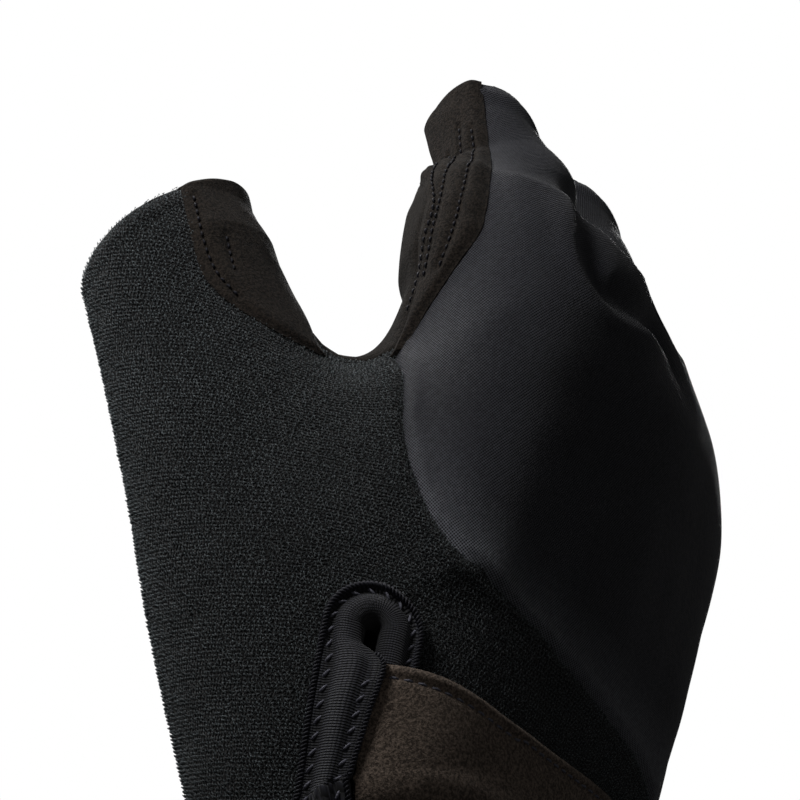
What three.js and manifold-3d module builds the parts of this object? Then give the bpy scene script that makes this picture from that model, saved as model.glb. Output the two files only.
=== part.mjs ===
import * as THREE from 'three';
import { mergeVertices } from 'three/addons/utils/BufferGeometryUtils.js';
import Module from 'manifold-3d';

// Short-fingered cycling glove for the right hand, in the hollow form that a hand gives it.
// Origin at the centre of the wrist opening, +Z towards the fingers, +Y the palm side, -X the thumb side.

// Named sizes of the whole glove, in millimetres
const PALM_LENGTH = 104;
const HALF_WIDTH = 40;
const HALF_DEPTH = 17.5;
const FINGER_RADIUS = 9;
const FINGER_LENGTH = 38;
const THUMB_RADIUS = 12;
const THUMB_LENGTH = 73.6;
const ARCH_RISE = 5.6;
const FINGER_BLEND = 7;
const THUMB_BLEND = 18;

// Cloth walls, seams and laid-on layers
const WALL = 1.4;
const SEAM_GAP = 0.3;
const CUFF_EDGE = 1.2;
const FACING_THICK = 1.1;
const FACING_LIFT = 0.5;
const TAPE_THICK = 0.9;
const TAPE_LIFT = 0.55;
const TAPE_WIDTH = 4.4;
const STRAP_THICK = 1.3;

// Wrist slit on the thumb side: half width of its opening, height of its top, compass angle about Z
const SLIT_HALF = 1.1;
const SLIT_TOP = 41.8;
const SLIT_ANGLE = THREE.MathUtils.degToRad(-171);

// Hand sections, wrist to knuckles: height, side offset, depth offset, half width, half depth, squareness
// Height is a share of PALM_LENGTH, side values of HALF_WIDTH, depth values of HALF_DEPTH
const HAND_ROWS = [
  [-0.192, 0, 0, 0.7, 0.971, 2.1],
  [0, 0, 0, 0.7, 0.971, 2.1],
  [0.24, -0.0125, -0.086, 0.725, 0.971, 2.1],
  [0.481, 0.0125, -0.257, 0.8375, 1, 2.2],
  [0.721, 0.025, -0.486, 0.975, 1, 2.4],
  [0.865, 0.05, -0.657, 1.0125, 0.943, 2.5],
  [0.981, 0.05, -0.714, 1, 0.743, 2.6],
  [1.077, 0.05, -0.657, 0.95, 0.229, 2.4],
];

// Fingers: root side, root depth, root height, bend to the palm, spread (degrees), rim, side and depth radius
// Root is in shares of HALF_WIDTH, HALF_DEPTH and PALM_LENGTH, rim of FINGER_LENGTH, radii of FINGER_RADIUS
const FINGER_ROWS = [
  [-0.7, -0.629, 0.846, 16, -3, 0.974, 0.989, 1.044],
  [-0.175, -0.8, 0.885, 18, -0.5, 1, 0.989, 1.044],
  [0.3375, -0.657, 0.856, 21, 2.5, 0.947, 0.967, 1.022],
  [0.8, -0.314, 0.788, 25, 7, 0.868, 0.911, 0.956],
];

// How a finger tube shrinks back into the hand: station, depth offset, side change, depth change, squareness
// Station is a share of FINGER_LENGTH, the rest of FINGER_RADIUS
const FINGER_TAPER = [
  [-1.053, 1.444, -0.667, -0.667, 2],
  [-0.579, 0.667, -0.289, -0.333, 2],
  [-0.211, 0.133, -0.044, -0.067, 2],
  [0, 0, 0, 0, 2.1],
  [1.579, 0, -0.044, -0.044, 2.1],
];

// Thumb axis ends, in shares of HALF_WIDTH, HALF_DEPTH and PALM_LENGTH
const THUMB_ROOT = place(-0.55, 0.314, 0.288);
const THUMB_TIP = place(-1.0875, 1.789, 0.918);
const THUMB_SIDE = new THREE.Vector3(0.3, 1, 0);
const THUMB_RIM_LEAN = new THREE.Vector3(-0.118, 0.323, -0.063);
const THUMB_RIM_PAST = 1;

// Thumb sections: station as a share of THUMB_LENGTH, side and depth radius of THUMB_RADIUS
const THUMB_ROWS = [
  [-0.136, 0, 0, 0.917, 0.833, 2],
  [0, 0, 0, 1.208, 1.042, 2],
  [0.272, 0, 0, 1.292, 1.1, 2],
  [0.543, 0, 0, 1.125, 1.042, 2],
  [0.815, 0, 0, 1.017, 0.983, 2],
  [1.155, 0, 0, 1, 0.958, 2],
];

// Grid lines that the cloth surfaces are cut from: first, last, step
const GRID_X = [[-66.2, 52, 3.475]];
const GRID_Y = [[-38.5, 57, 4.6]];
const GRID_Z = [[-12, 60, 9], [66, 108, 5.25], [116, 140, 8]];

function place(side, depth, height) {
  return new THREE.Vector3(side * HALF_WIDTH, depth * HALF_DEPTH, height * PALM_LENGTH);
}

function gridLines(spans) {
  const lines = [];
  for (const [first, last, step] of spans) {
    for (let value = first; value < last + step / 2; value += step) {
      lines.push(value);
    }
  }
  return lines;
}

// Smooth curve through a table's rows at station s
function rowAt(rows, s) {
  const last = rows.length - 1;
  let i = 0;
  while (i < last - 1 && s > rows[i + 1][0]) {
    i += 1;
  }
  const before = rows[Math.max(i - 1, 0)];
  const after = rows[Math.min(i + 2, last)];
  const span = rows[i + 1][0] - rows[i][0];
  const t = THREE.MathUtils.clamp((s - rows[i][0]) / span, 0, 1);
  return rows[i].map((start, column) => {
    const end = rows[i + 1][column];
    const flat = (end - start) / span;
    const slopeIn = i > 0 ? (end - before[column]) / (rows[i + 1][0] - before[0]) : flat;
    const slopeOut = i < last - 1 ? (after[column] - start) / (after[0] - rows[i][0]) : flat;
    const t2 = t * t;
    const t3 = t2 * t;
    const ends = (2 * t3 - 3 * t2 + 1) * start + (3 * t2 - 2 * t3) * end;
    return ends + span * ((t3 - 2 * t2 + t) * slopeIn + (t3 - t2) * slopeOut);
  });
}

// A tube's own axes: root point, along, side, depth
function tubeFrame(root, along, side) {
  const axis = along.clone().normalize();
  const across = side.clone().addScaledVector(axis, -side.dot(axis)).normalize();
  const depth = new THREE.Vector3().crossVectors(axis, across);
  return { root, axis, across, depth };
}

// Near distance from a point to the section: side and depth offsets, half sizes and squareness in row
function sectionDistance(a, b, row) {
  const [offA, offB, halfA, halfB, power] = row;
  const u = Math.abs((a - offA) / halfA) + 1e-6;
  const v = Math.abs((b - offB) / halfB) + 1e-6;
  const r = (u ** power + v ** power) ** (1 / power);
  const gu = (u / r) ** (power - 1) / halfA;
  const gv = (v / r) ** (power - 1) / halfB;
  return (r - 1) / Math.hypot(gu, gv);
}

function softMin(a, b, blend) {
  const h = THREE.MathUtils.clamp(0.5 + 0.5 * (b - a) / blend, 0, 1);
  return b * (1 - h) + a * h - blend * h * (1 - h);
}

const fingers = FINGER_ROWS.map(([side, depth, height, bend, spread, rim, radiusA, radiusB]) => {
  const along = new THREE.Vector3(Math.sin(THREE.MathUtils.degToRad(spread)), 0, 0);
  along.z = Math.cos(THREE.MathUtils.degToRad(spread));
  along.applyAxisAngle(new THREE.Vector3(1, 0, 0), -THREE.MathUtils.degToRad(bend));
  const frame = tubeFrame(place(side, depth, height), along, new THREE.Vector3(1, 0, 0));
  const rows = FINGER_TAPER.map(([s, offset, changeA, changeB, power]) => [
    s * FINGER_LENGTH,
    0,
    offset * FINGER_RADIUS,
    (radiusA + changeA) * FINGER_RADIUS,
    (radiusB + changeB) * FINGER_RADIUS,
    power,
  ]);
  return { frame, rows, rim: rim * FINGER_LENGTH };
});

const thumb = {
  frame: tubeFrame(THUMB_ROOT, THUMB_TIP.clone().sub(THUMB_ROOT), THUMB_SIDE),
  rows: THUMB_ROWS.map(([s, a, b, halfA, halfB, power]) => [
    s * THUMB_LENGTH, a, b, halfA * THUMB_RADIUS, halfB * THUMB_RADIUS, power,
  ]),
};

const handRows = HAND_ROWS.map(([z, a, b, halfA, halfB, power]) => [
  z * PALM_LENGTH, a * HALF_WIDTH, b * HALF_DEPTH, halfA * HALF_WIDTH, halfB * HALF_DEPTH, power,
]);

function tubeDistance(tube, point, startAt) {
  const { root, axis, across, depth } = tube.frame;
  const q = point.clone().sub(root);
  const s = q.dot(axis);
  const row = rowAt(tube.rows, s).slice(1);
  return Math.max(sectionDistance(q.dot(across), q.dot(depth), row), startAt - s);
}

// Blend of hand, fingers and thumb: below zero inside the glove, above zero outside
const FINGER_START = -34;
const THUMB_START = -6;
const ARCH_SIDE = -8;

function gloveBlend(point) {
  const lean = THREE.MathUtils.clamp(point.z / 60, 0, 1) * ((point.x - ARCH_SIDE) / HALF_WIDTH) ** 2;
  const section = rowAt(handRows, point.z).slice(1);
  const hand = Math.max(
    sectionDistance(point.x, point.y - ARCH_RISE * lean, section),
    point.z - PALM_LENGTH,
  );
  const digits = Math.min(...fingers.map((finger) => tubeDistance(finger, point, FINGER_START)));
  const joined = softMin(hand, digits, FINGER_BLEND);
  return softMin(joined, tubeDistance(thumb, point, THUMB_START), THUMB_BLEND);
}

const SLOPE_STEP = 0.05;

// How the blend changes along each axis, with its value at the point
function blendSlope(point) {
  const here = gloveBlend(point);
  const slope = new THREE.Vector3();
  for (const axis of ['x', 'y', 'z']) {
    const near = point.clone();
    near[axis] += SLOPE_STEP;
    slope[axis] = (gloveBlend(near) - here) / SLOPE_STEP;
  }
  return { here, slope };
}

// Distance from the outer face in millimetres, true near the face
function gloveDistance(point) {
  const { here, slope } = blendSlope(point);
  return here / THREE.MathUtils.clamp(slope.length(), 0.35, 1.2);
}

// Closed solid of all points whose distance is under the level
function clothSolid(level, xs, ys, zs) {
  const [nx, ny, nz] = [xs.length, ys.length, zs.length];
  const id = (i, j, k) => (i * ny + j) * nz + k;
  const value = new Float64Array(nx * ny * nz).fill(1);
  for (let i = 1; i < nx - 1; i += 1) {
    for (let j = 1; j < ny - 1; j += 1) {
      for (let k = 1; k < nz - 1; k += 1) {
        value[id(i, j, k)] = gloveDistance(new THREE.Vector3(xs[i], ys[j], zs[k])) - level;
      }
    }
  }
  const steps = [[1, 0, 0], [0, 1, 0], [0, 0, 1]];
  const sums = new Map();
  const quads = [];
  const addCrossing = (key, point) => {
    const sum = sums.get(key) ?? { total: new THREE.Vector3(), count: 0 };
    sum.total.add(point);
    sum.count += 1;
    sums.set(key, sum);
  };
  for (let i = 0; i < nx - 1; i += 1) {
    for (let j = 0; j < ny - 1; j += 1) {
      for (let k = 0; k < nz - 1; k += 1) {
        steps.forEach(([di, dj, dk], direction) => {
          const here = value[id(i, j, k)];
          const there = value[id(i + di, j + dj, k + dk)];
          if ((here < 0) === (there < 0)) {
            return;
          }
          const t = here / (here - there);
          const point = new THREE.Vector3(
            THREE.MathUtils.lerp(xs[i], xs[i + di], t),
            THREE.MathUtils.lerp(ys[j], ys[j + dj], t),
            THREE.MathUtils.lerp(zs[k], zs[k + dk], t),
          );
          const [u, v] = [steps[(direction + 1) % 3], steps[(direction + 2) % 3]];
          const corners = [[1, 1], [0, 1], [0, 0], [1, 0]].map(([a, b]) => id(
            i - a * u[0] - b * v[0],
            j - a * u[1] - b * v[1],
            k - a * u[2] - b * v[2],
          ));
          corners.forEach((key) => addCrossing(key, point));
          quads.push(here < 0 ? corners : corners.reverse());
        });
      }
    }
  }
  const order = new Map([...sums.keys()].map((key, index) => [key, index]));
  const points = [...sums.values()].map(({ total, count }) => settle(total.divideScalar(count), level, zs));
  return solidFrom(points, quads.flatMap((quad) => splitQuad(quad.map((key) => order.get(key)), points)));
}

// Moves a point onto the level, except on the flat ends of the grid
function settle(point, level, zs) {
  if (point.z < zs[1] || point.z > zs[zs.length - 2]) {
    return point;
  }
  const { slope } = blendSlope(point);
  const shift = level - gloveDistance(point);
  return point.addScaledVector(slope.normalize(), THREE.MathUtils.clamp(shift, -1.5, 1.5));
}

function splitQuad([a, b, c, d], points) {
  if (points[a].distanceTo(points[c]) < points[b].distanceTo(points[d])) {
    return [[a, b, c], [a, c, d]];
  }
  return [[a, b, d], [b, c, d]];
}

const wasm = await Module();
wasm.setup();

function solidFrom(points, triangles) {
  let volume = 0;
  for (const [a, b, c] of triangles) {
    volume += points[a].dot(new THREE.Vector3().crossVectors(points[b], points[c]));
  }
  const facing = volume < 0 ? triangles.map(([a, b, c]) => [a, c, b]) : triangles;
  return new wasm.Manifold(new wasm.Mesh({
    numProp: 3,
    vertProperties: new Float32Array(points.flatMap((point) => point.toArray())),
    triVerts: new Uint32Array(facing.flat()),
  }));
}

// Solid between two grids of points that share their outline
function slab(columns, rows, nearPoint, farPoint) {
  const points = [];
  for (const pointAt of [nearPoint, farPoint]) {
    for (let i = 0; i <= columns; i += 1) {
      for (let j = 0; j <= rows; j += 1) {
        points.push(pointAt(i, j));
      }
    }
  }
  const side = (columns + 1) * (rows + 1);
  const id = (i, j) => i * (rows + 1) + j;
  const quads = [];
  for (let i = 0; i < columns; i += 1) {
    for (let j = 0; j < rows; j += 1) {
      const cell = [id(i, j), id(i, j + 1), id(i + 1, j + 1), id(i + 1, j)];
      quads.push(cell, cell.map((key) => key + side).reverse());
    }
  }
  const rim = (a, b) => quads.push([b, a, a + side, b + side]);
  for (let i = 0; i < columns; i += 1) {
    rim(id(i + 1, 0), id(i, 0));
    rim(id(i, rows), id(i + 1, rows));
  }
  for (let j = 0; j < rows; j += 1) {
    rim(id(0, j), id(0, j + 1));
    rim(id(columns, j + 1), id(columns, j));
  }
  return solidFrom(points, quads.flatMap((quad) => splitQuad(quad, points)));
}

// Solid skinned over rings of points, its two ends closed by the same list of cap triangles
function skin(rings, caps) {
  const count = rings[0].length;
  const quads = [];
  for (let i = 0; i < rings.length - 1; i += 1) {
    for (let j = 0; j < count; j += 1) {
      const next = (j + 1) % count;
      quads.push([i * count + j, (i + 1) * count + j, (i + 1) * count + next, i * count + next]);
    }
  }
  const points = rings.flat();
  const start = points.length - count;
  const ends = caps.flatMap(([a, b, c]) => [[a, b, c], [start + a, start + c, start + b]]);
  return solidFrom(points, [...quads.flatMap((quad) => splitQuad(quad, points)), ...ends]);
}

function fan(count) {
  return Array.from({ length: count - 2 }, (unused, i) => [0, i + 1, i + 2]);
}

// Box that removes everything beyond a plane, within a reach around the plane's point
function endBox(point, normal, reach, length) {
  const box = new THREE.BoxGeometry(2 * reach, 2 * reach, length);
  box.deleteAttribute('normal');
  box.deleteAttribute('uv');
  box.translate(0, 0, length / 2);
  box.applyQuaternion(new THREE.Quaternion().setFromUnitVectors(new THREE.Vector3(0, 0, 1), normal));
  box.translate(point.x, point.y, point.z);
  const merged = mergeVertices(box);
  return new wasm.Manifold(new wasm.Mesh({
    numProp: 3,
    vertProperties: new Float32Array(merged.attributes.position.array),
    triVerts: new Uint32Array(merged.index.array),
  }));
}

// Hollow hand shell: outer face less inner face, open at the wrist, the thumb and every finger
const xs = gridLines(GRID_X);
const ys = gridLines(GRID_Y);
const zs = gridLines(GRID_Z);
const RIM_REACH = 10.3;
const THUMB_REACH = 40;
const CUT_LENGTH = 60;
const up = new THREE.Vector3(0, 0, 1);
let outer = clothSolid(0, xs, ys, zs);
for (const finger of fingers) {
  const rimPoint = finger.frame.root.clone().addScaledVector(finger.frame.axis, finger.rim);
  outer = outer.subtract(endBox(rimPoint, finger.frame.axis, RIM_REACH, CUT_LENGTH));
}
const thumbNormal = thumb.frame.axis.clone().add(THUMB_RIM_LEAN).normalize();
const thumbRim = THUMB_TIP.clone().addScaledVector(thumb.frame.axis, THUMB_RIM_PAST);
outer = outer.subtract(endBox(thumbRim, thumbNormal, THUMB_REACH, CUT_LENGTH));
outer = outer.subtract(endBox(new THREE.Vector3(0, 0, CUFF_EDGE), up.clone().negate(), 90, CUT_LENGTH));
const shell = outer.subtract(clothSolid(-WALL, xs, ys, zs));

// Seam between palm and back: height, depth on the thumb side, depth on the little finger side
const FAR = 90;
const KNUCKLE_HEIGHT = 0.8;
const SIDE_ROWS = [
  [-0.1, -0.23, 0],
  [0.29, -0.23, 0.03],
  [0.58, -0.23, 0.06],
  [0.77, -0.23, -0.03],
  [0.87, -0.25, 0.06],
  [1.0, -0.25, 0.4],
  [1.3, -0.1, 1.3],
];

function backSeam(gap, yFar) {
  const columns = fingers.length + 2;
  const at = (i, j) => {
    const [height, thumbSide, littleSide] = SIDE_ROWS[j];
    const z = height * PALM_LENGTH;
    if (i === 0 || i === 1) {
      return new THREE.Vector3(i === 0 ? -FAR : -0.93 * HALF_WIDTH, thumbSide * HALF_DEPTH + gap, z);
    }
    if (i === columns) {
      return new THREE.Vector3(FAR, littleSide * HALF_DEPTH + gap, z);
    }
    const { root, axis } = fingers[i - 2].frame;
    if (height < KNUCKLE_HEIGHT) {
      return new THREE.Vector3(root.x, rowAt(handRows, z)[2] + gap, z);
    }
    const s = (z - root.z) / axis.z;
    return new THREE.Vector3(root.x + axis.x * s, root.y + axis.y * s + gap, z);
  };
  const far = (i, j) => at(i, j).setY(yFar);
  return slab(columns, SIDE_ROWS.length - 1, at, far);
}

// Region of the thumb cloth: height, depth of its back edge, then side limits at three depths
const THUMB_CLOTH_ROWS = [
  [-0.1, -1.15, -0.2, -0.25, -0.4],
  [0.29, -1.15, -0.3, -0.425, -0.6],
  [0.46, -1.15, -0.375, -0.6, -0.75],
  [0.488, -0.78, -0.45, -0.63, -0.76],
  [0.535, -0.52, -0.5, -0.7, -0.8],
  [0.62, -0.29, -0.55, -0.775, -0.85],
  [0.718, -0.17, -0.6, -0.825, -0.9],
  [0.752, -0.04, -0.65, -0.85, -0.9],
  [0.784, -0.04, -1.075, -0.95, -0.9125],
  [0.87, -0.04, -1.1, -1, -0.95],
  [1.1, -0.04, -1.15, -1.1, -1.05],
];

function thumbCloth(grow) {
  const rings = THUMB_CLOTH_ROWS.map(([height, back, sideBack, sideMid, sidePalm], index) => {
    const z = height * PALM_LENGTH + (index > 0 ? grow : 0);
    return [
      new THREE.Vector3(-FAR, back * HALF_DEPTH - grow, z),
      new THREE.Vector3(sideBack * HALF_WIDTH + grow, back * HALF_DEPTH - grow, z),
      new THREE.Vector3(sideMid * HALF_WIDTH + grow, 0.8 * HALF_DEPTH, z),
      new THREE.Vector3(sidePalm * HALF_WIDTH + grow, FAR, z),
      new THREE.Vector3(-FAR, FAR, z),
    ];
  });
  return skin(rings, fan(5));
}

// Region of the same cloth across the back of the wrist: side and height of its upper edge
const WRIST_CLOTH_ROWS = [
  [-2.25, 0.495],
  [-0.79, 0.49],
  [-0.63, 0.472],
  [-0.46, 0.462],
  [-0.1, 0.461],
  [0.35, 0.475],
  [2.25, 0.5],
];

function wristCloth(grow) {
  const at = (i, j) => new THREE.Vector3(
    WRIST_CLOTH_ROWS[i][0] * HALF_WIDTH,
    -FAR,
    j === 0 ? -30 : WRIST_CLOTH_ROWS[i][1] * PALM_LENGTH + grow,
  );
  return slab(WRIST_CLOTH_ROWS.length - 1, 1, at, (i, j) => at(i, j).setY(FAR));
}

// Slit in the wrist cloth, cut along its own outward direction
const slitOut = new THREE.Vector3(Math.cos(SLIT_ANGLE), Math.sin(SLIT_ANGLE), 0);
const slitSide = new THREE.Vector3(-Math.sin(SLIT_ANGLE), Math.cos(SLIT_ANGLE), 0);
const TAPE_TURN = TAPE_THICK + SEAM_GAP;
const SLIT_ARC = 8;

// Points round the slit: up one side, over the top, down the other, pushed outwards by offset
function slitPath(offset, bottom, straightSteps) {
  const radius = SLIT_HALF + offset;
  const arcZ = SLIT_TOP - SLIT_HALF;
  const path = [];
  for (let i = 0; i < straightSteps; i += 1) {
    path.push(new THREE.Vector2(-radius, THREE.MathUtils.lerp(bottom, arcZ, i / straightSteps)));
  }
  for (let i = 0; i <= SLIT_ARC; i += 1) {
    const turn = Math.PI * (1 - i / SLIT_ARC);
    path.push(new THREE.Vector2(radius * Math.cos(turn), arcZ + radius * Math.sin(turn)));
  }
  for (let i = straightSteps - 1; i >= 0; i -= 1) {
    path.push(new THREE.Vector2(radius, THREE.MathUtils.lerp(bottom, arcZ, i / straightSteps)));
  }
  return path;
}

function slitCutter() {
  const outline = slitPath(TAPE_TURN, -10, 1);
  const ring = (depth) => outline.map(({ x, y }) => slitOut.clone().multiplyScalar(depth)
    .addScaledVector(slitSide, x).addScaledVector(up, y));
  return skin([ring(14), ring(60)], fan(outline.length));
}

const seam = SEAM_GAP / 2;
const palmPanel = shell.subtract(thumbCloth(seam)).intersect(backSeam(seam, FAR));
const backHalf = shell.intersect(backSeam(-seam, -FAR));
const dorsalPanel = backHalf.subtract(thumbCloth(seam)).subtract(wristCloth(seam));
const thumbPanel = backHalf.intersect(wristCloth(-seam)).add(shell.intersect(thumbCloth(-seam)))
  .subtract(slitCutter());

// First point outwards from start where the distance reaches the level
function outwards(start, direction, level) {
  let near = 0;
  let far = 1;
  while (gloveDistance(start.clone().addScaledVector(direction, far)) < level && far < 80) {
    near = far;
    far += 1;
  }
  for (let i = 0; i < 18; i += 1) {
    const middle = (near + far) / 2;
    const inside = gloveDistance(start.clone().addScaledVector(direction, middle)) < level;
    near = inside ? middle : near;
    far = inside ? far : middle;
  }
  return start.clone().addScaledVector(direction, (near + far) / 2);
}

// Point on a tube's cloth at station s and angle in degrees, at a level over the outer face
function roundTube(frame, s, degrees, level) {
  const turn = THREE.MathUtils.degToRad(degrees);
  const direction = frame.across.clone().multiplyScalar(Math.cos(turn))
    .addScaledVector(frame.depth, Math.sin(turn));
  return outwards(frame.root.clone().addScaledVector(frame.axis, s), direction, level);
}

// Laid-on piece between two angles, lengthways rows smoothed from its table
function laidPiece(frame, table, lengthSteps, roundSteps, thick) {
  const first = table[0][0];
  const last = table[table.length - 1][0];
  const pointAt = (i, j, extra) => {
    const [s, angleA, angleB, lift] = rowAt(table, THREE.MathUtils.lerp(first, last, i / lengthSteps));
    return roundTube(frame, s, THREE.MathUtils.lerp(angleA, angleB, j / roundSteps), lift + extra);
  };
  return slab(
    lengthSteps,
    roundSteps,
    (i, j) => pointAt(i, j, 0),
    (i, j) => pointAt(i, j, thick),
  );
}

// Suede facing on the index finger: station, back angle, front angle, lift; stations in FINGER_LENGTH shares
const INDEX_FACING_ROWS = [
  [-0.13, -226, -230],
  [-0.053, -217, -229],
  [0.06, -198, -224],
  [0.184, -177, -221],
  [0.29, -170, -214],
  [0.42, -165, -208],
  [0.55, -161, -216],
  [0.71, -160, -226],
  [0.96, -157, -226],
].map(([s, back, front]) => [s * FINGER_LENGTH, back, front, FACING_LIFT]);

// Suede facing on the web side of the thumb, stations in THUMB_LENGTH shares
const THUMB_FACING_ROWS = [
  [0.672, 183, 190],
  [0.7, 170, 195],
  [0.74, 155, 202],
  [0.788, 144.5, 212],
  [0.85, 140, 224],
  [0.91, 143, 228],
  [0.972, 146, 230],
].map(([s, back, front]) => [s * THUMB_LENGTH, back, front, FACING_LIFT]);

const indexFacing = laidPiece(fingers[0].frame, INDEX_FACING_ROWS, 14, 7, FACING_THICK);
const thumbFacing = laidPiece(thumb.frame, THUMB_FACING_ROWS, 12, 7, FACING_THICK)
  .subtract(endBox(thumbRim.clone().addScaledVector(thumbNormal, -0.4), thumbNormal, THUMB_REACH, 20));

// Folded tape over a raw edge: distance from the tape's fold, then level over the outer face
const TAPE_SECTION = [
  [TAPE_WIDTH, TAPE_LIFT + TAPE_THICK],
  [0, TAPE_LIFT + TAPE_THICK],
  [0, -WALL - TAPE_LIFT - TAPE_THICK],
  [TAPE_WIDTH, -WALL - TAPE_LIFT - TAPE_THICK],
  [TAPE_WIDTH, -WALL - TAPE_LIFT],
  [TAPE_THICK, -WALL - TAPE_LIFT],
  [TAPE_THICK, TAPE_LIFT],
  [TAPE_WIDTH, TAPE_LIFT],
];
const TAPE_CAPS = [[0, 1, 6], [0, 6, 7], [1, 2, 5], [1, 5, 6], [2, 3, 4], [2, 4, 5]];

// Tape round the slit: both legs run down to the wrist opening
const SLIT_STEPS = 7;
const slitPaths = TAPE_SECTION.map(([offset]) => slitPath(offset, 0, SLIT_STEPS));
const slitRings = slitPaths[0].map((unused, i) => TAPE_SECTION.map(([, level], j) => {
  const { x, y } = slitPaths[j][i];
  const start = slitSide.clone().multiplyScalar(x).addScaledVector(up, y);
  return outwards(start, slitOut, level);
}));
const slitBinding = skin(slitRings, TAPE_CAPS);

// Tape round the wrist edge, from one leg of the slit tape to the other
const CUFF_STEPS = 34;
const CUFF_START = 15.4;
const cuffRings = Array.from({ length: CUFF_STEPS + 1 }, (unused, i) => {
  const share = THREE.MathUtils.lerp(CUFF_START, 360 - CUFF_START, i / CUFF_STEPS);
  const turn = SLIT_ANGLE + THREE.MathUtils.degToRad(share);
  const direction = new THREE.Vector3(Math.cos(turn), Math.sin(turn), 0);
  return TAPE_SECTION.map(([offset, level]) => outwards(new THREE.Vector3(0, 0, offset), direction, level));
});
const cuffBinding = skin(cuffRings, TAPE_CAPS);

// Closing strap round the back of the wrist: angle, lower and upper edge, lift over the outer face
// Edges in PALM_LENGTH shares; it starts in the slit, climbs over the slit tape and lies on the cloth
const STRAP_ROWS = [
  [-172, 0.072, 0.325, 0.3],
  [-171.1, 0.072, 0.326, 1.3],
  [-170.3, 0.072, 0.327, 2.05],
  [-164, 0.073, 0.33, 2.1],
  [-158, 0.074, 0.332, 2.1],
  [-151, 0.076, 0.334, 0.9],
  [-142, 0.078, 0.335, 0.75],
  [-128, 0.085, 0.345, 0.75],
  [-114, 0.095, 0.357, 0.75],
  [-98, 0.11, 0.37, 0.75],
  [-81, 0.125, 0.383, 0.75],
  [-66, 0.14, 0.387, 0.75],
  [-54, 0.165, 0.378, 0.75],
  [-47, 0.2, 0.352, 0.75],
];
const STRAP_BANDS = 5;
const strapPoint = (i, j, extra) => {
  const [degrees, low, high, lift] = STRAP_ROWS[i];
  const z = THREE.MathUtils.lerp(low, high, j / STRAP_BANDS) * PALM_LENGTH;
  const turn = THREE.MathUtils.degToRad(degrees);
  const direction = new THREE.Vector3(Math.cos(turn), Math.sin(turn), 0);
  return outwards(new THREE.Vector3(0, 0, z), direction, lift + extra);
};
const closureStrap = slab(
  STRAP_ROWS.length - 1,
  STRAP_BANDS,
  (i, j) => strapPoint(i, j, 0),
  (i, j) => strapPoint(i, j, STRAP_THICK),
);

// Joins the ends of edges too short to matter, keeping the body closed
const SHORTEST_EDGE = 0.12;

function joinShortEdges(points, triangles) {
  let kept = triangles;
  let changed = true;
  while (changed) {
    changed = false;
    const around = points.map(() => new Set());
    for (const [a, b, c] of kept) {
      around[a].add(b).add(c);
      around[b].add(a).add(c);
      around[c].add(a).add(b);
    }
    const touched = new Set();
    const target = points.map((unused, i) => i);
    for (const [a, neighbours] of around.entries()) {
      for (const b of neighbours) {
        const free = a < b && !touched.has(a) && !touched.has(b);
        const shared = free ? [...neighbours].filter((i) => around[b].has(i)) : [];
        if (shared.length === 2 && points[a].distanceTo(points[b]) < SHORTEST_EDGE) {
          target[b] = a;
          changed = true;
          [a, ...neighbours, ...around[b]].forEach((i) => touched.add(i));
        }
      }
    }
    kept = kept.map((triangle) => triangle.map((i) => target[i]))
      .filter(([a, b, c]) => a !== b && b !== c && c !== a);
  }
  return kept;
}

function addPiece(group, name, solid, color, roughness) {
  const { vertProperties, triVerts } = solid.getMesh();
  const points = [];
  for (let i = 0; i < vertProperties.length; i += 3) {
    points.push(new THREE.Vector3().fromArray(vertProperties, i));
  }
  const triangles = [];
  for (let i = 0; i < triVerts.length; i += 3) {
    triangles.push([triVerts[i], triVerts[i + 1], triVerts[i + 2]]);
  }
  const geometry = new THREE.BufferGeometry();
  geometry.setAttribute('position', new THREE.BufferAttribute(new Float32Array(vertProperties), 3));
  geometry.setIndex(joinShortEdges(points, triangles).flat());
  geometry.computeVertexNormals();
  const material = new THREE.MeshStandardMaterial({ color, roughness, metalness: 0 });
  const mesh = new THREE.Mesh(geometry, material);
  mesh.name = name;
  group.add(mesh);
}

const group = new THREE.Group();
addPiece(group, 'dorsal_panel', dorsalPanel, 0x25252e, 0.7);
addPiece(group, 'palm_panel', palmPanel, 0x2a2622, 0.95);
addPiece(group, 'thumb_panel', thumbPanel, 0x2b302f, 1);
addPiece(group, 'index_facing', indexFacing, 0x2e2a26, 0.95);
addPiece(group, 'thumb_facing', thumbFacing, 0x2e2a26, 0.95);
addPiece(group, 'slit_binding', slitBinding, 0x22222b, 0.8);
addPiece(group, 'cuff_binding', cuffBinding, 0x22222b, 0.8);
addPiece(group, 'closure_strap', closureStrap, 0x3a332c, 0.95);

export default group;
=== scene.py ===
import math

import bpy
import numpy as np
from mathutils import Matrix, Vector


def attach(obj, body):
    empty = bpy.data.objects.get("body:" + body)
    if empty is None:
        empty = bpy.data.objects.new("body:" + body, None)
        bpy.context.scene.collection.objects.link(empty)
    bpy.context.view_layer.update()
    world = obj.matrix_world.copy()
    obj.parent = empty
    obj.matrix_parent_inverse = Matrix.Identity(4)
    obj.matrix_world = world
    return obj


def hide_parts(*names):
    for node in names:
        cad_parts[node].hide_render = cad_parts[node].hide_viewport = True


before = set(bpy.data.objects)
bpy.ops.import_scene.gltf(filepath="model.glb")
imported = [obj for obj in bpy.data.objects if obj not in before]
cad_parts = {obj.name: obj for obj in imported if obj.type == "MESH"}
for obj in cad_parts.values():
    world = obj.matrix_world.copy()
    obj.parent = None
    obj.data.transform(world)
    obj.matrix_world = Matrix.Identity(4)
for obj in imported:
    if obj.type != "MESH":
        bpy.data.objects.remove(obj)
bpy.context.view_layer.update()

mm = 0.001

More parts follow.
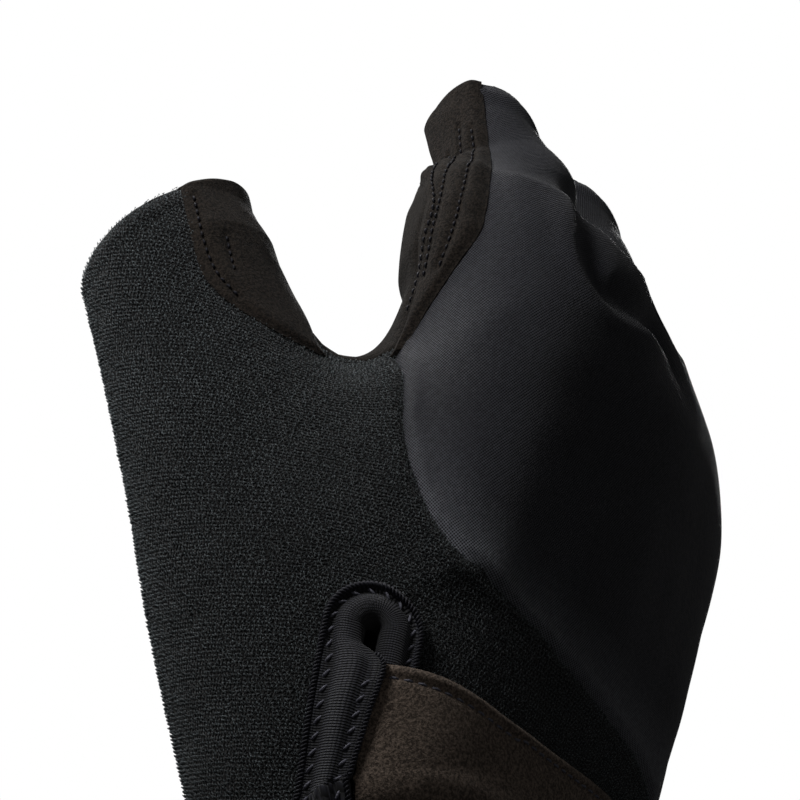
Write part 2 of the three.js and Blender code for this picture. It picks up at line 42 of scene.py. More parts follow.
# Hand form: driving sizes in millimetres, the same as the solids
glove = {
    "palmLength": 104.0,
    "halfWidth": 40.0,
    "halfDepth": 17.5,
    "fingerRadius": 9.0,
    "fingerLength": 38.0,
    "thumbRadius": 12.0,
    "thumbLength": 73.6,
    "archRise": 5.6,
    "archSide": -8.0,
    "fingerBlend": 7.0,
    "thumbBlend": 18.0,
    "fingerStart": -34.0,
    "thumbStart": -6.0,
    "wall": 1.4,
    "clothGap": -0.06,
    "cuffEdge": 1.2,
    "edgeRound": 0.25,
    "weld": 0.03,
    "far": 90.0,
    "seamTurn": -0.93,
    "fingerSeam": 0.8,
}

# Height, side offset, depth offset, half width, half depth, squareness
handRows = [
    [-0.192, 0, 0, 0.7, 0.971, 2.1],
    [0, 0, 0, 0.7, 0.971, 2.1],
    [0.24, -0.0125, -0.086, 0.725, 0.971, 2.1],
    [0.481, 0.0125, -0.257, 0.8375, 1, 2.2],
    [0.721, 0.025, -0.486, 0.975, 1, 2.4],
    [0.865, 0.05, -0.657, 1.0125, 0.943, 2.5],
    [0.981, 0.05, -0.714, 1, 0.743, 2.6],
    [1.077, 0.05, -0.657, 0.95, 0.229, 2.4],
]

# Root side, root depth, root height, bend to the palm, spread, side radius, depth radius
fingerRows = [
    [-0.7, -0.629, 0.846, 16, -3, 0.989, 1.044],
    [-0.175, -0.8, 0.885, 18, -0.5, 0.989, 1.044],
    [0.3375, -0.657, 0.856, 21, 2.5, 0.967, 1.022],
    [0.8, -0.314, 0.788, 25, 7, 0.911, 0.956],
]

# Open ends of the fingers: station along the finger, lean of the end across and back
fingerEnds = [
    [34.2, 0.3, 0.02],
    [33.5, 0.3, 0.0],
    [35.0, 0.05, -0.05],
    [32.2, 0, 0],
]

# Station, depth offset, side change, depth change, squareness
fingerTaper = [
    [-1.053, 1.444, -0.667, -0.667, 2],
    [-0.579, 0.667, -0.289, -0.333, 2],
    [-0.211, 0.133, -0.044, -0.067, 2],
    [0, 0, 0, 0, 2.1],
    [1.579, 0, -0.044, -0.044, 2.1],
]

# Thumb from root to tip, as shares of the hand, and its open end's lean
thumbLine = {
    "root": (-0.55, 0.314, 0.288),
    "tip": (-1.0875, 1.789, 0.918),
    "across": np.array([0.3, 1, 0]),
    "endOut": 0.3,
    "endLean": np.array([-0.118, 0.323, -0.063]),
    "endTurn": 0.04,
}

# Station, side offset, depth offset, side radius, depth radius, squareness
thumbRows = [
    [-0.136, 0, 0, 0.917, 0.833, 2],
    [0, 0, 0, 1.208, 1.042, 2],
    [0.272, 0, 0, 1.292, 1.1, 2],
    [0.543, 0, 0, 1.125, 1.042, 2],
    [0.815, 0, 0, 1.017, 0.983, 2],
    [1.155, 0, 0, 1, 0.958, 2],
]


def place(side, depth, height):
    return np.array([side * glove["halfWidth"], depth * glove["halfDepth"], height * glove["palmLength"]])


def unit(vectors):
    return vectors / np.linalg.norm(vectors, axis=-1, keepdims=True)


def dot(a, b):
    return np.sum(a * b, axis=-1)


# Smooth curve through the rows of a table whose first column is the station
def rowsAt(rows, stations):
    rows = np.asarray(rows, float)
    known = rows[:, 0]
    last = len(known) - 1
    i = np.clip(np.searchsorted(known, stations) - 1, 0, last - 1)
    before, after = np.maximum(i - 1, 0), np.minimum(i + 2, last)
    step = (known[i + 1] - known[i])[..., None]
    t = np.clip((stations - known[i])[..., None] / step, 0, 1)
    slopeA = (rows[i + 1] - rows[before]) / (known[i + 1] - known[before])[..., None] * step
    slopeB = (rows[after] - rows[i]) / (known[after] - known[i])[..., None] * step
    start = (2 * t ** 3 - 3 * t ** 2 + 1) * rows[i] + (t ** 3 - 2 * t ** 2 + t) * slopeA
    return start + (3 * t ** 2 - 2 * t ** 3) * rows[i + 1] + (t ** 3 - t ** 2) * slopeB


def tubeOf(root, along, across, rows, startAt):
    axis = unit(along)
    side = unit(across - axis * dot(across, axis))
    return {
        "root": root,
        "axis": axis,
        "side": side,
        "depth": np.cross(axis, side),
        "rows": np.asarray(rows, float),
        "startAt": startAt,
    }


def makeFingers():
    tubes = []
    radius, length = glove["fingerRadius"], glove["fingerLength"]
    for row, (rim, across, back) in zip(fingerRows, fingerEnds):
        side, depth, height, bend, spread, radiusA, radiusB = row
        turn, lean = math.radians(spread), math.radians(bend)
        along = np.array([math.sin(turn), math.cos(turn) * math.sin(lean), math.cos(turn) * math.cos(lean)])
        rows = []
        for s, offset, changeA, changeB, power in fingerTaper:
            rows.append([s * length, 0, offset * radius, (radiusA + changeA) * radius,
                         (radiusB + changeB) * radius, power])
        root = place(side, depth, height)
        tube = tubeOf(root, along, np.array([1.0, 0, 0]), rows, glove["fingerStart"])
        tube["rimPoint"] = root + tube["axis"] * rim
        tube["rimNormal"] = unit(tube["axis"] + across * tube["side"] + back * tube["depth"])
        tubes.append(tube)
    return tubes


def makeThumb():
    root, tip = place(*thumbLine["root"]), place(*thumbLine["tip"])
    radius = glove["thumbRadius"]
    rows = []
    for s, a, b, halfA, halfB, power in thumbRows:
        rows.append([s * glove["thumbLength"], a, b, halfA * radius, halfB * radius, power])
    tube = tubeOf(root, tip - root, thumbLine["across"], rows, glove["thumbStart"])
    tube["rimPoint"] = tip + thumbLine["endOut"] * tube["axis"]
    tube["rimNormal"] = unit(tube["axis"] + thumbLine["endLean"] - thumbLine["endTurn"] * tube["side"])
    return tube


fingers = makeFingers()
thumb = makeThumb()
sideways, deep = glove["halfWidth"], glove["halfDepth"]
handTable = np.array(handRows) * [glove["palmLength"], sideways, deep, sideways, deep, 1]


def sectionDistance(a, b, row):
    u = np.abs((a - row[..., 0]) / row[..., 2]) + 1e-6
    v = np.abs((b - row[..., 1]) / row[..., 3]) + 1e-6
    power = row[..., 4]
    r = (u ** power + v ** power) ** (1 / power)
    slopeU = (u / r) ** (power - 1) / row[..., 2]
    slopeV = (v / r) ** (power - 1) / row[..., 3]
    return (r - 1) / np.hypot(slopeU, slopeV)


def softMin(a, b, blend):
    h = np.clip(0.5 + 0.5 * (b - a) / blend, 0, 1)
    return b * (1 - h) + a * h - blend * h * (1 - h)


def tubeDistance(tube, points):
    q = points - tube["root"]
    s = q @ tube["axis"]
    row = rowsAt(tube["rows"], s)[..., 1:]
    return np.maximum(sectionDistance(q @ tube["side"], q @ tube["depth"], row), tube["startAt"] - s)


# Below zero inside the glove, above zero outside
def gloveBlend(points):
    x, y, z = points[..., 0], points[..., 1], points[..., 2]
    lean = np.clip(z / 60, 0, 1) * ((x - glove["archSide"]) / glove["halfWidth"]) ** 2
    hand = sectionDistance(x, y - glove["archRise"] * lean, rowsAt(handTable, z)[..., 1:])
    hand = np.maximum(hand, z - glove["palmLength"])
    digits = np.min([tubeDistance(finger, points) for finger in fingers], axis=0)
    joined = softMin(hand, digits, glove["fingerBlend"])
    return softMin(joined, tubeDistance(thumb, points), glove["thumbBlend"])


def gloveSlope(points):
    here = gloveBlend(points)
    step = 0.05
    slope = [(gloveBlend(points + step * axis) - here) / step for axis in np.eye(3)]
    return here, np.stack(slope, -1)


# Points moved on to the outer face, with the outward direction there
def settle(points, rounds=3):
    for _ in range(rounds):
        here, slope = gloveSlope(points)
        size = np.clip(np.linalg.norm(slope, axis=-1), 0.35, 1.2)
        points = points - (here / size)[..., None] * unit(slope)
    return points, unit(gloveSlope(points)[1])


# Steps of a ray until it is outside, then halvings of the last one
rays = {"step": 1.5, "steps": 45, "halvings": 9}


# Outer face of the glove met by rays from inside it
def outerFace(starts, directions):
    reach = np.full(starts.shape[:-1], 1.0)
    found = np.zeros(reach.shape, bool)
    for _ in range(rays["steps"]):
        outside = gloveBlend(starts + directions * reach[..., None]) > 0
        found |= outside
        reach = np.where(found, reach, reach + rays["step"])
    low, high = reach - rays["step"], reach
    for _ in range(rays["halvings"]):
        middle = (low + high) / 2
        outside = gloveBlend(starts + directions * middle[..., None]) > 0
        low, high = np.where(outside, low, middle), np.where(outside, middle, high)
    return settle(starts + directions * high[..., None], 1)


skinGrid = {"box": [(-62, 52), (-38, 56), (-11, 141)], "spacing": 3.0, "roundings": 2}


# Coarse closed skin of the glove form on a regular grid
def coarseSkin():
    spacing = skinGrid["spacing"]
    axes = [np.arange(start, end, spacing) for start, end in skinGrid["box"]]
    values = gloveBlend(np.stack(np.meshgrid(*axes, indexing="ij"), -1))
    inside = values < 0
    shape = np.array(inside.shape) - 1
    corners = [inside[i:shape[0] + i, j:shape[1] + j, k:shape[2] + k]
               for i in (0, 1) for j in (0, 1) for k in (0, 1)]
    count = np.sum(corners, axis=0)
    active = (count > 0) & (count < 8)
    number = np.full(active.shape, -1)
    cells = np.argwhere(active)
    number[active] = np.arange(len(cells))
    points = np.stack([axes[a][cells[:, a]] + spacing / 2 for a in range(3)], -1)
    quads = []
    for a in range(3):
        b, c = (a + 1) % 3, (a + 2) % 3
        shift = np.zeros(3, int)
        shift[a] = 1
        low = inside[tuple(slice(0, inside.shape[n] - shift[n]) for n in range(3))]
        high = inside[tuple(slice(shift[n], None) for n in range(3))]
        edges = np.argwhere(low != high)
        rising = low[tuple(edges.T)]
        ring = []
        for u, v in ((0, 0), (-1, 0), (-1, -1), (0, -1)):
            cell = edges.copy()
            cell[:, b] += u
            cell[:, c] += v
            ring.append(number[tuple(np.clip(cell, 0, shape - 1).T)])
        quad = np.stack(ring, 1)
        quad[~rising] = quad[~rising][:, ::-1]
        quads.append(quad[np.all(quad >= 0, axis=1)])
    return points, np.concatenate(quads)


def setMode(piece, mode):
    bpy.ops.object.select_all(action="DESELECT")
    piece.select_set(True)
    bpy.context.view_layer.objects.active = piece
    bpy.ops.object.mode_set(mode=mode)


def newPiece(name, points, faces):
    mesh = bpy.data.meshes.new(name)
    mesh.from_pydata((points * mm).tolist(), [], faces.tolist() if isinstance(faces, np.ndarray) else faces)
    mesh.update()
    piece = bpy.data.objects.new(name, mesh)
    bpy.context.scene.collection.objects.link(piece)
    setMode(piece, "OBJECT")
    return piece


def applyAll(piece):
    setMode(piece, "OBJECT")
    for modifier in list(piece.modifiers):
        bpy.ops.object.modifier_apply(modifier=modifier.name)


def pointsOf(piece):
    flat = np.empty(len(piece.data.vertices) * 3)
    piece.data.vertices.foreach_get("co", flat)
    return flat.reshape(-1, 3) / mm


def trianglesOf(piece):
    piece.data.calc_loop_triangles()
    flat = np.empty(len(piece.data.loop_triangles) * 3, int)
    piece.data.loop_triangles.foreach_get("vertices", flat)
    return flat.reshape(-1, 3)


def finishPiece(piece, node, material):
    piece.data.materials.clear()
    piece.data.materials.append(material)
    piece.data.polygons.foreach_set("use_smooth", [True] * len(piece.data.polygons))
    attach(piece, "root")
    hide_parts(node)
    print("piece", piece.name, len(trianglesOf(piece)), "triangles")


# Fine skin: the coarse one rounded by subdivision, then set on the outer face
def fineSkin():
    points, quads = coarseSkin()
    points, _ = settle(points, 3)
    skin = newPiece("skinForm", points, quads)
    rounding = skin.modifiers.new("rounding", "SUBSURF")
    rounding.levels = rounding.render_levels = skinGrid["roundings"]
    applyAll(skin)
    points, triangles = pointsOf(skin), trianglesOf(skin)
    bpy.data.objects.remove(skin)
    points, normals = settle(points, 2)
    return points, triangles, normals


skinPoints, skinTriangles, skinNormals = fineSkin()
print("fine skin", len(skinPoints), "points")

# Seam between palm and back: height, depth on the thumb side, depth on the little finger side
sideRows = [
    [-0.1, -0.23, 0],
    [0.29, -0.23, 0.03],
    [0.58, -0.23, 0.06],
    [0.77, -0.03, -0.03],
    [0.87, -0.1, 0.06],
    [1.0, -0.2, 0.4],
    [1.3, -0.1, 1.3],
]

# Thumb cloth: height, depth of its back edge, side limits at three depths
thumbClothRows = [
    [-0.1, -1.15, -0.2, -0.25, -0.4],
    [0.29, -1.15, -0.3, -0.425, -0.6],
    [0.46, -1.15, -0.375, -0.6, -0.75],
    [0.488, -0.78, -0.45, -0.63, -0.76],
    [0.535, -0.52, -0.5, -0.7, -0.8],
    [0.62, -0.29, -0.55, -0.775, -0.85],
    [0.718, -0.17, -0.6, -0.825, -0.9],
    [0.752, -0.04, -0.65, -0.85, -0.9],
    [0.784, -0.04, -1.075, -0.95, -0.9125],
    [0.87, -0.04, -1.1, -1, -0.95],
    [1.1, -0.04, -1.15, -1.1, -1.05],
]

# The same cloth across the back of the wrist: side, height of its upper edge
wristClothRows = [
    [-2.25, 0.495],
    [-0.79, 0.49],
    [-0.63, 0.472],
    [-0.46, 0.462],
    [-0.1, 0.461],
    [0.35, 0.475],
    [2.25, 0.5],
]

slit = {"angle": math.radians(-171), "half": 1.1, "top": 39.0, "turn": 1.2, "nearSide": 14}
slitOut = np.array([math.cos(slit["angle"]), math.sin(slit["angle"]), 0])
slitSide = np.array([-math.sin(slit["angle"]), math.cos(slit["angle"]), 0])


def backSeamTable():
    rows = []
    for height, thumbSide, littleSide in sideRows:
        z = height * glove["palmLength"]
        row = [z, -glove["far"], thumbSide * deep, glove["seamTurn"] * sideways, thumbSide * deep]
        for finger in fingers:
            s = (z - finger["root"][2]) / finger["axis"][2]
            onAxis = finger["root"] + finger["axis"] * s
            low = [finger["root"][0], rowsAt(handTable, np.array([z]))[0, 2]]
            row += low if height < glove["fingerSeam"] else [onAxis[0], onAxis[1]]
        rows.append(row + [glove["far"], littleSide * deep])
    return rows


backSeamRows = backSeamTable()


# Below zero on the back of the hand
def backValue(points):
    rows = rowsAt(backSeamRows, points[:, 2])[:, 1:]
    columns, depths = rows[:, 0::2], rows[:, 1::2]
    x = points[:, 0]
    i = np.clip(np.sum(columns < x[:, None], axis=1) - 1, 0, columns.shape[1] - 2)
    at = np.arange(len(x))
    share = (x - columns[at, i]) / (columns[at, i + 1] - columns[at, i])
    return points[:, 1] - (depths[at, i] * (1 - share) + depths[at, i + 1] * share)


# Below zero in the thumb cloth
def thumbValue(points):
    rows = rowsAt(thumbClothRows, points[:, 2] / glove["palmLength"])
    back = rows[:, 1] * glove["halfDepth"]
    middle = 0.8 * glove["halfDepth"]
    y = points[:, 1]
    low = rows[:, 2] + (rows[:, 3] - rows[:, 2]) * (y - back) / (middle - back)
    high = rows[:, 3] + (rows[:, 4] - rows[:, 3]) * (y - middle) / (glove["far"] - middle)
    side = np.where(y < middle, low, high) * glove["halfWidth"]
    return np.maximum(back - y, points[:, 0] - side)


# Below zero in the cloth across the wrist
def wristValue(points):
    edge = rowsAt(wristClothRows, points[:, 0] / glove["halfWidth"])[:, 1]
    return points[:, 2] - edge * glove["palmLength"]


# Station along a tube and the offset from its axis
def onTube(tube, points):
    q = points - tube["root"]
    s = q @ tube["axis"]
    return s, q - s[:, None] * tube["axis"]


# Stations from which a digit counts, the thumb's reach, and a distance for none
ends = {"fingerFrom": 8, "thumbFrom": 25, "thumbReach": 22, "none": 1e3}


# Above zero past an open finger or thumb end, in true millimetres
def rimValue(points):
    nearest = np.full(len(points), ends["none"])
    value = -nearest
    for finger in fingers:
        s, offset = onTube(finger, points)
        away = np.linalg.norm(offset, axis=1)
        hit = (away < nearest) & (s > ends["fingerFrom"])
        nearest = np.where(hit, away, nearest)
        value = np.where(hit, (points - finger["rimPoint"]) @ finger["rimNormal"], value)
    s, offset = onTube(thumb, points)
    away = np.linalg.norm(offset, axis=1)
    hit = (away < nearest) & (away < ends["thumbReach"]) & (s > ends["thumbFrom"])
    return np.where(hit, (points - thumb["rimPoint"]) @ thumb["rimNormal"], value)


def slitValue(points, radius):
    across = points @ slitSide
    above = np.maximum(points[:, 2] - (slit["top"] - slit["half"]), 0)
    around = np.hypot(across, above) - radius
    return np.where(points @ slitOut > slit["nearSide"], around, ends["none"])


def palmRegion(points):
    return np.maximum(-thumbValue(points), -backValue(points))


def backRegion(points):
    edges = np.maximum(-thumbValue(points), backValue(points))
    return np.maximum(edges, -wristValue(points))


def thumbRegion(points):
    return np.minimum(thumbValue(points), np.maximum(backValue(points), wristValue(points)))


# Region value made a true distance along the face
def alongFace(region, points, normals):
    other = np.where(np.abs(normals[:, 2:]) < 0.8, [[0, 0, 1.0]], [[1.0, 0, 0]])
    across = unit(np.cross(normals, other))
    down = np.cross(normals, across)
    step = 0.2
    here = region(points)
    slopeA = (region(points + across * step) - here) / step
    slopeB = (region(points + down * step) - here) / step
    return here / np.clip(np.hypot(slopeA, slopeB), 0.3, 3)


# A cut edge stays this share of the edge away from its ends, so that no sliver is left
cutAway = 0.16


# Keeps the part of a triangle mesh where value is below zero, cut at zero
def clipMesh(points, triangles, value, *others):
    keep = value < 0
    count = keep[triangles].sum(axis=1)
    pieces = [triangles[count == 3]]
    cuts = {}
    for wanted in (1, 2):
        crossing = triangles[count == wanted]
        alone = keep[crossing] if wanted == 1 else ~keep[crossing]
        first = np.argmax(alone, axis=1)
        at = np.arange(len(crossing))
        cuts[wanted] = [crossing[at, (first + n) % 3] for n in range(3)]
    edges = []
    for wanted in (1, 2):
        a, b, c = cuts[wanted]
        edges += [np.stack([a, b], 1), np.stack([a, c], 1)]
    sizes = np.cumsum([0] + [len(edge) for edge in edges])
    allEdges = np.sort(np.concatenate(edges), axis=1)
    unique, back = np.unique(allEdges, axis=0, return_inverse=True)
    back = back.reshape(-1) + len(points)
    share = value[unique[:, 0]] / (value[unique[:, 0]] - value[unique[:, 1]])
    share = np.clip(share, cutAway, 1 - cutAway)[:, None]
    ab1, ac1, ab2, ac2 = [back[sizes[n]:sizes[n + 1]] for n in range(4)]
    a, b, c = cuts[1]
    pieces.append(np.stack([a, ab1, ac1], 1))
    a, b, c = cuts[2]
    pieces.append(np.stack([ab2, b, c], 1))
    pieces.append(np.stack([ab2, c, ac2], 1))
    triangles = np.concatenate(pieces)
    grown = [np.concatenate([field, field[unique[:, 0]] * (1 - share) + field[unique[:, 1]] * share])
             for field in (points,) + others]
    used, numbers = np.unique(triangles, return_inverse=True)
    return [field[used] for field in grown], numbers.reshape(-1, 3)


# Gentle uneven waves, the same each run
def waves(points, length, seed):
    rng = np.random.default_rng(seed)
    total = np.zeros(points.shape[:-1])
    for _ in range(6):
        direction = unit(rng.normal(size=3))
        phase = rng.uniform(0, 2 * math.pi)
        total += np.sin(points @ direction * (2 * math.pi / length) * rng.uniform(0.7, 1.4) + phase)
    return total / 6


# Distance from a path, with the side of it that a direction names
def fromPath(points, path, sideways):
    best = np.full(len(points), 1e3)
    signed = np.full(len(points), 1e3)
    for a, b in zip(path[:-1], path[1:]):
        along = b - a
        share = np.clip(((points - a) @ along) / (along @ along), 0, 1)
        away = points - (a + share[:, None] * along)
        distance = np.linalg.norm(away, axis=1)
        closer = distance < best
        best = np.where(closer, distance, best)
        signed = np.where(closer, distance * np.sign(away @ sideways), signed)
    return signed


def bell(distance, width):
    return np.exp(-(distance / width) ** 2)


folds = {
    # crease from the gap beside the middle finger down round the index knuckle
    "creaseRows": [
        [0, -31, -14.1, 110.8],
        [1, -32.8, -17.6, 103],
        [2, -33.4, -20, 96.5],
        [3, -31.6, -22, 92.4],
        [4, -27.2, -23.8, 91.2],
        [5, -19, -25.9, 94.6],
        [6, -13, -27, 98],
    ],
    "creaseSide": np.array([-0.8, 0, -1.0]),
    # lift, place and width beside the crease, and where the crease fades out upwards
    "creaseBells": [[0.7, 1.0, 2.0], [-1.3, -2.6, 2.6]],
    "creaseTop": 112,
    "creaseFade": 14,
    # lift, length and seed of uneven waves
    "waves": [(0.3, 26, 3), (0.12, 9, 5)],
    # fuller or drawn in round one spot: place, reach, lift
    "spots": [
        [(-17, -19, 107), 6.5, 1.6],
        [(-14, -16.5, 113), 6.5, 1.9],
        [(-28, -12.5, 113), 6, 2.2],
        [(-12.5, -26, 99), 7, -2.6],
        [(-3, -27, 99), 10, -0.6],
        [(-37.6, 2.6, 80), 6.5, -1.7],
    ],
    # back of the hand beside the little finger, drawn in by the knuckles and fuller below them:
    # lift, height, its reach, side, its reach
    "backRows": [[-1.0, 101, 14, 20, 20], [2.8, 55, 22, 21, 17]],
    "backFade": 12,
    # index finger: palm side of the end drawn in past a step, the suede below it fuller
    "indexReach": 12.5,
    "palmWay": 1.25 * np.array([0.94, -0.34]),
    "endTuck": 2.2,
    "endTuckFrom": 23.5,
    "endTuckOver": 1.6,
    "palmFull": [1.6, 15, 10],
    "backWay": np.array([0.34, -0.92, 0.18]),
    "backTuck": [-1.0, 33, 8],
    # web side of the thumb's end, drawn in: depth, station, reach
    "thumbTuck": 1.7,
    "thumbTuckFrom": 68,
    "thumbTuckOver": 6,
}
crease = rowsAt(folds["creaseRows"], np.linspace(0, 6, 31))[:, 1:]


# Lifts of a table added up: lift, place, width
def bells(distance, rows):
    return sum(rise * bell(distance - at, width) for rise, at, width in rows)


# How far the cloth stands above or below the plain form
def foldLift(points):
    x, y, z = points.T
    signed = fromPath(points, crease, folds["creaseSide"])
    fade = np.clip((folds["creaseTop"] - z) / folds["creaseFade"], 0, 1)
    lift = fade * bells(signed, folds["creaseBells"])
    for rise, length, seed in folds["waves"]:
        lift += rise * waves(points, length, seed)
    for spot, reach, rise in folds["spots"]:
        lift += rise * bell(np.linalg.norm(points - np.array(spot), axis=1), reach)
    onBack = np.clip(-y / folds["backFade"], 0, 1)
    for rise, height, tall, side, wide in folds["backRows"]:
        lift += rise * onBack * bell(z - height, tall) * bell(x - side, wide)
    index = fingers[0]
    s, offset = onTube(index, points)
    around = unit(offset)
    close = np.clip(folds["indexReach"] - np.linalg.norm(offset, axis=1), 0, 1)
    palmWay = folds["palmWay"] @ np.array([index["depth"], index["side"]])
    toPalm = np.clip(around @ palmWay, 0, 1)
    step = np.clip((s - folds["endTuckFrom"]) / folds["endTuckOver"], 0, 1)
    lift += close * toPalm * (bells(s, [folds["palmFull"]]) * (1 - step) - folds["endTuck"] * step)
    toBack = np.clip(around @ folds["backWay"], 0, 1) ** 2
    lift += close * toBack * bells(s, [folds["backTuck"]])
    s, offset = onTube(thumb, points)
    toWeb = np.clip(-(unit(offset) @ thumb["side"]), 0, 1) ** 2
    tuckShare = np.clip((s - folds["thumbTuckFrom"]) / folds["thumbTuckOver"], 0, 1)
    return lift - folds["thumbTuck"] * toWeb * tuckShare


# Lifts by the distance to a rolled hem's open end and to a seam: lift, place, width
hemBells = [[0.12, -1.4, 1.2], [-0.12, -3.4, 0.8], [-0.5, 0, 0.9]]
seamBells = [[0.22, -1.5, 0.8], [-0.4, 0, 0.5]]


# Wall of cloth from the skin inside one region
def clothPanel(name, region, extraCut, sink=0.0):
    near = alongFace(region, skinPoints, skinNormals) + glove["clothGap"] / 2
    rim = rimValue(skinPoints)
    value = np.maximum.reduce([near, rim, glove["cuffEdge"] - skinPoints[:, 2], extraCut])
    (points, normals, edge, rim), triangles = clipMesh(
        skinPoints, skinTriangles, value, skinNormals, near[:, None], rim[:, None])
    edge, rim = edge[:, 0], rim[:, 0]
    lift = foldLift(points) + bells(rim, hemBells) + bells(edge, seamBells) - sink
    points = points + unit(normals) * lift[:, None]
    panel = newPiece(name, points, triangles)
    # Distance from the seam, which the knit's painted light near the seam reads
    away = panel.data.attributes.new("edgeAway", "FLOAT", "POINT")
    away.data.foreach_set("value", -edge)
    setMode(panel, "EDIT")
    bpy.ops.mesh.select_all(action="SELECT")
    bpy.ops.mesh.remove_doubles(threshold=glove["weld"] * mm)
    bpy.ops.object.mode_set(mode="OBJECT")
    return panel


def addWall(panel, thickness, edgeRound):
    wall = panel.modifiers.new("wall", "SOLIDIFY")
    wall.thickness = thickness * mm
    wall.offset = -1
    wall.use_even_offset = False
    if edgeRound:
        rounding = panel.modifiers.new("edge", "BEVEL")
        rounding.width = edgeRound * mm
        rounding.segments = 2
        rounding.limit_method = "ANGLE"
        rounding.angle_limit = math.radians(55)
    applyAll(panel)


# Corners of each triangle on the flat pattern and in place
def patternCorners(panel):
    mesh = panel.data
    loops = len(mesh.loops)
    flat = np.empty(loops * 2)
    mesh.uv_layers.active.data.foreach_get("uv", flat)
    corner = np.empty(loops, int)
    mesh.loops.foreach_get("vertex_index", corner)
    return flat.reshape(-1, 3, 2), pointsOf(panel)[corner].reshape(-1, 3, 3)


# Flat pattern of a panel in true millimetres, standing upright, for its knit
def layOutPattern(panel):
    setMode(panel, "EDIT")
    bpy.ops.mesh.select_all(action="SELECT")
    bpy.ops.uv.unwrap(method="ANGLE_BASED", margin=0)
    bpy.ops.object.mode_set(mode="OBJECT")
    flat, corners = patternCorners(panel)
    areas = []
    for place in (flat, corners):
        cross = np.cross(place[:, 1] - place[:, 0], place[:, 2] - place[:, 0])
        areas.append(np.linalg.norm(cross.reshape(len(cross), -1), axis=1).sum())
    uv = flat.reshape(-1, 2) * math.sqrt(areas[1] / areas[0])
    uv -= uv.mean(axis=0)
    height = corners.reshape(-1, 3)[:, 2]
    uphill = np.linalg.lstsq(uv, height - height.mean(), rcond=None)[0]
    turn = math.atan2(uphill[0], uphill[1])
    c, s = math.cos(turn), math.sin(turn)
    uv = uv @ np.array([[c, s], [-s, c]])
    panel.data.uv_layers.active.data.foreach_set("uv", uv.reshape(-1))
    panel.data.uv_layers.active.name = "clothPattern"


def newMaterial(name):
    material = bpy.data.materials.new(name)
    material.use_nodes = True
    tree = material.node_tree
    return material, tree, tree.nodes["Principled BSDF"]


def node(tree, kind, links=(), **values):
    made = tree.nodes.new(kind)
    for key, value in values.items():
        setattr(made, key, value)
    for socket, source in dict(links).items():
        target = made.inputs[socket]
        if isinstance(source, bpy.types.NodeSocket):
            tree.links.new(source, target)
        else:
            target.default_value = source
    return made


def calc(tree, operation, a, b=0.0, c=None):
    links = {0: a, 1: b} if c is None else {0: a, 1: b, 2: c}
    return node(tree, "ShaderNodeMath", links, operation=operation).outputs[0]


def times(tree, a, b):
    return calc(tree, "MULTIPLY", a, b)


# Rows of ribs at a pitch across one coordinate
def ribs(tree, place, pitch):
    return calc(tree, "ABSOLUTE", calc(tree, "SINE", times(tree, place, math.pi / pitch)))


def noise(tree, vector, scale, detail=2.0, rough=0.5):
    links = {"Vector": vector, "Scale": scale, "Detail": detail, "Roughness": rough}
    return node(tree, "ShaderNodeTexNoise", links).outputs["Fac"]


def spread(tree, value, low, high, lowOut=0.0, highOut=1.0):
    links = {"Value": value, "From Min": low, "From Max": high, "To Min": lowOut, "To Max": highOut}
    return node(tree, "ShaderNodeMapRange", links).outputs["Result"]


def blendColor(tree, factor, a, b):
    made = node(tree, "ShaderNodeMix", data_type="RGBA")
    for socket, source in ((0, factor), (6, a), (7, b)):
        if isinstance(source, bpy.types.NodeSocket):
            tree.links.new(source, made.inputs[socket])
        else:
            made.inputs[socket].default_value = source
    return made.outputs[2]


def bumpOf(tree, height, distance):
    links = {"Height": height, "Distance": distance * mm}
    return node(tree, "ShaderNodeBump", links).outputs["Normal"]


def attributeOf(tree, name, output="Fac"):
    return node(tree, "ShaderNodeAttribute", attribute_name=name).outputs[output]


def partsOf(tree, vector):
    return node(tree, "ShaderNodeSeparateXYZ", {0: vector}).outputs


# Links, values and bump of a surface
def dress(tree, shader, height, depth, values):
    for name, source in values.items():
        if isinstance(source, bpy.types.NodeSocket):
            tree.links.new(source, shader.inputs[name])
        else:
            shader.inputs[name].default_value = source
    tree.links.new(bumpOf(tree, height, depth), shader.inputs["Normal"])


def objectPlace(tree):
    return node(tree, "ShaderNodeTexCoord").outputs["Object"]


def color(r, g, b):
    return (r, g, b, 1.0)


# Stretch knit of the back: fine rows of tiny stitches on the cloth's own pattern, with painted light near
# its seam low on the hand
knit = {
    "mesh": 0.38,
    "lean": 0.35,
    "dark": color(0.0012, 0.0012, 0.0026),
    "lit": color(0.035, 0.036, 0.049),
    "roughness": 0.62,
    "sheen": 0.08,
    # paler colour of the painted light near the seam
    "paintedSeamLight": color(0.17, 0.175, 0.2),
}


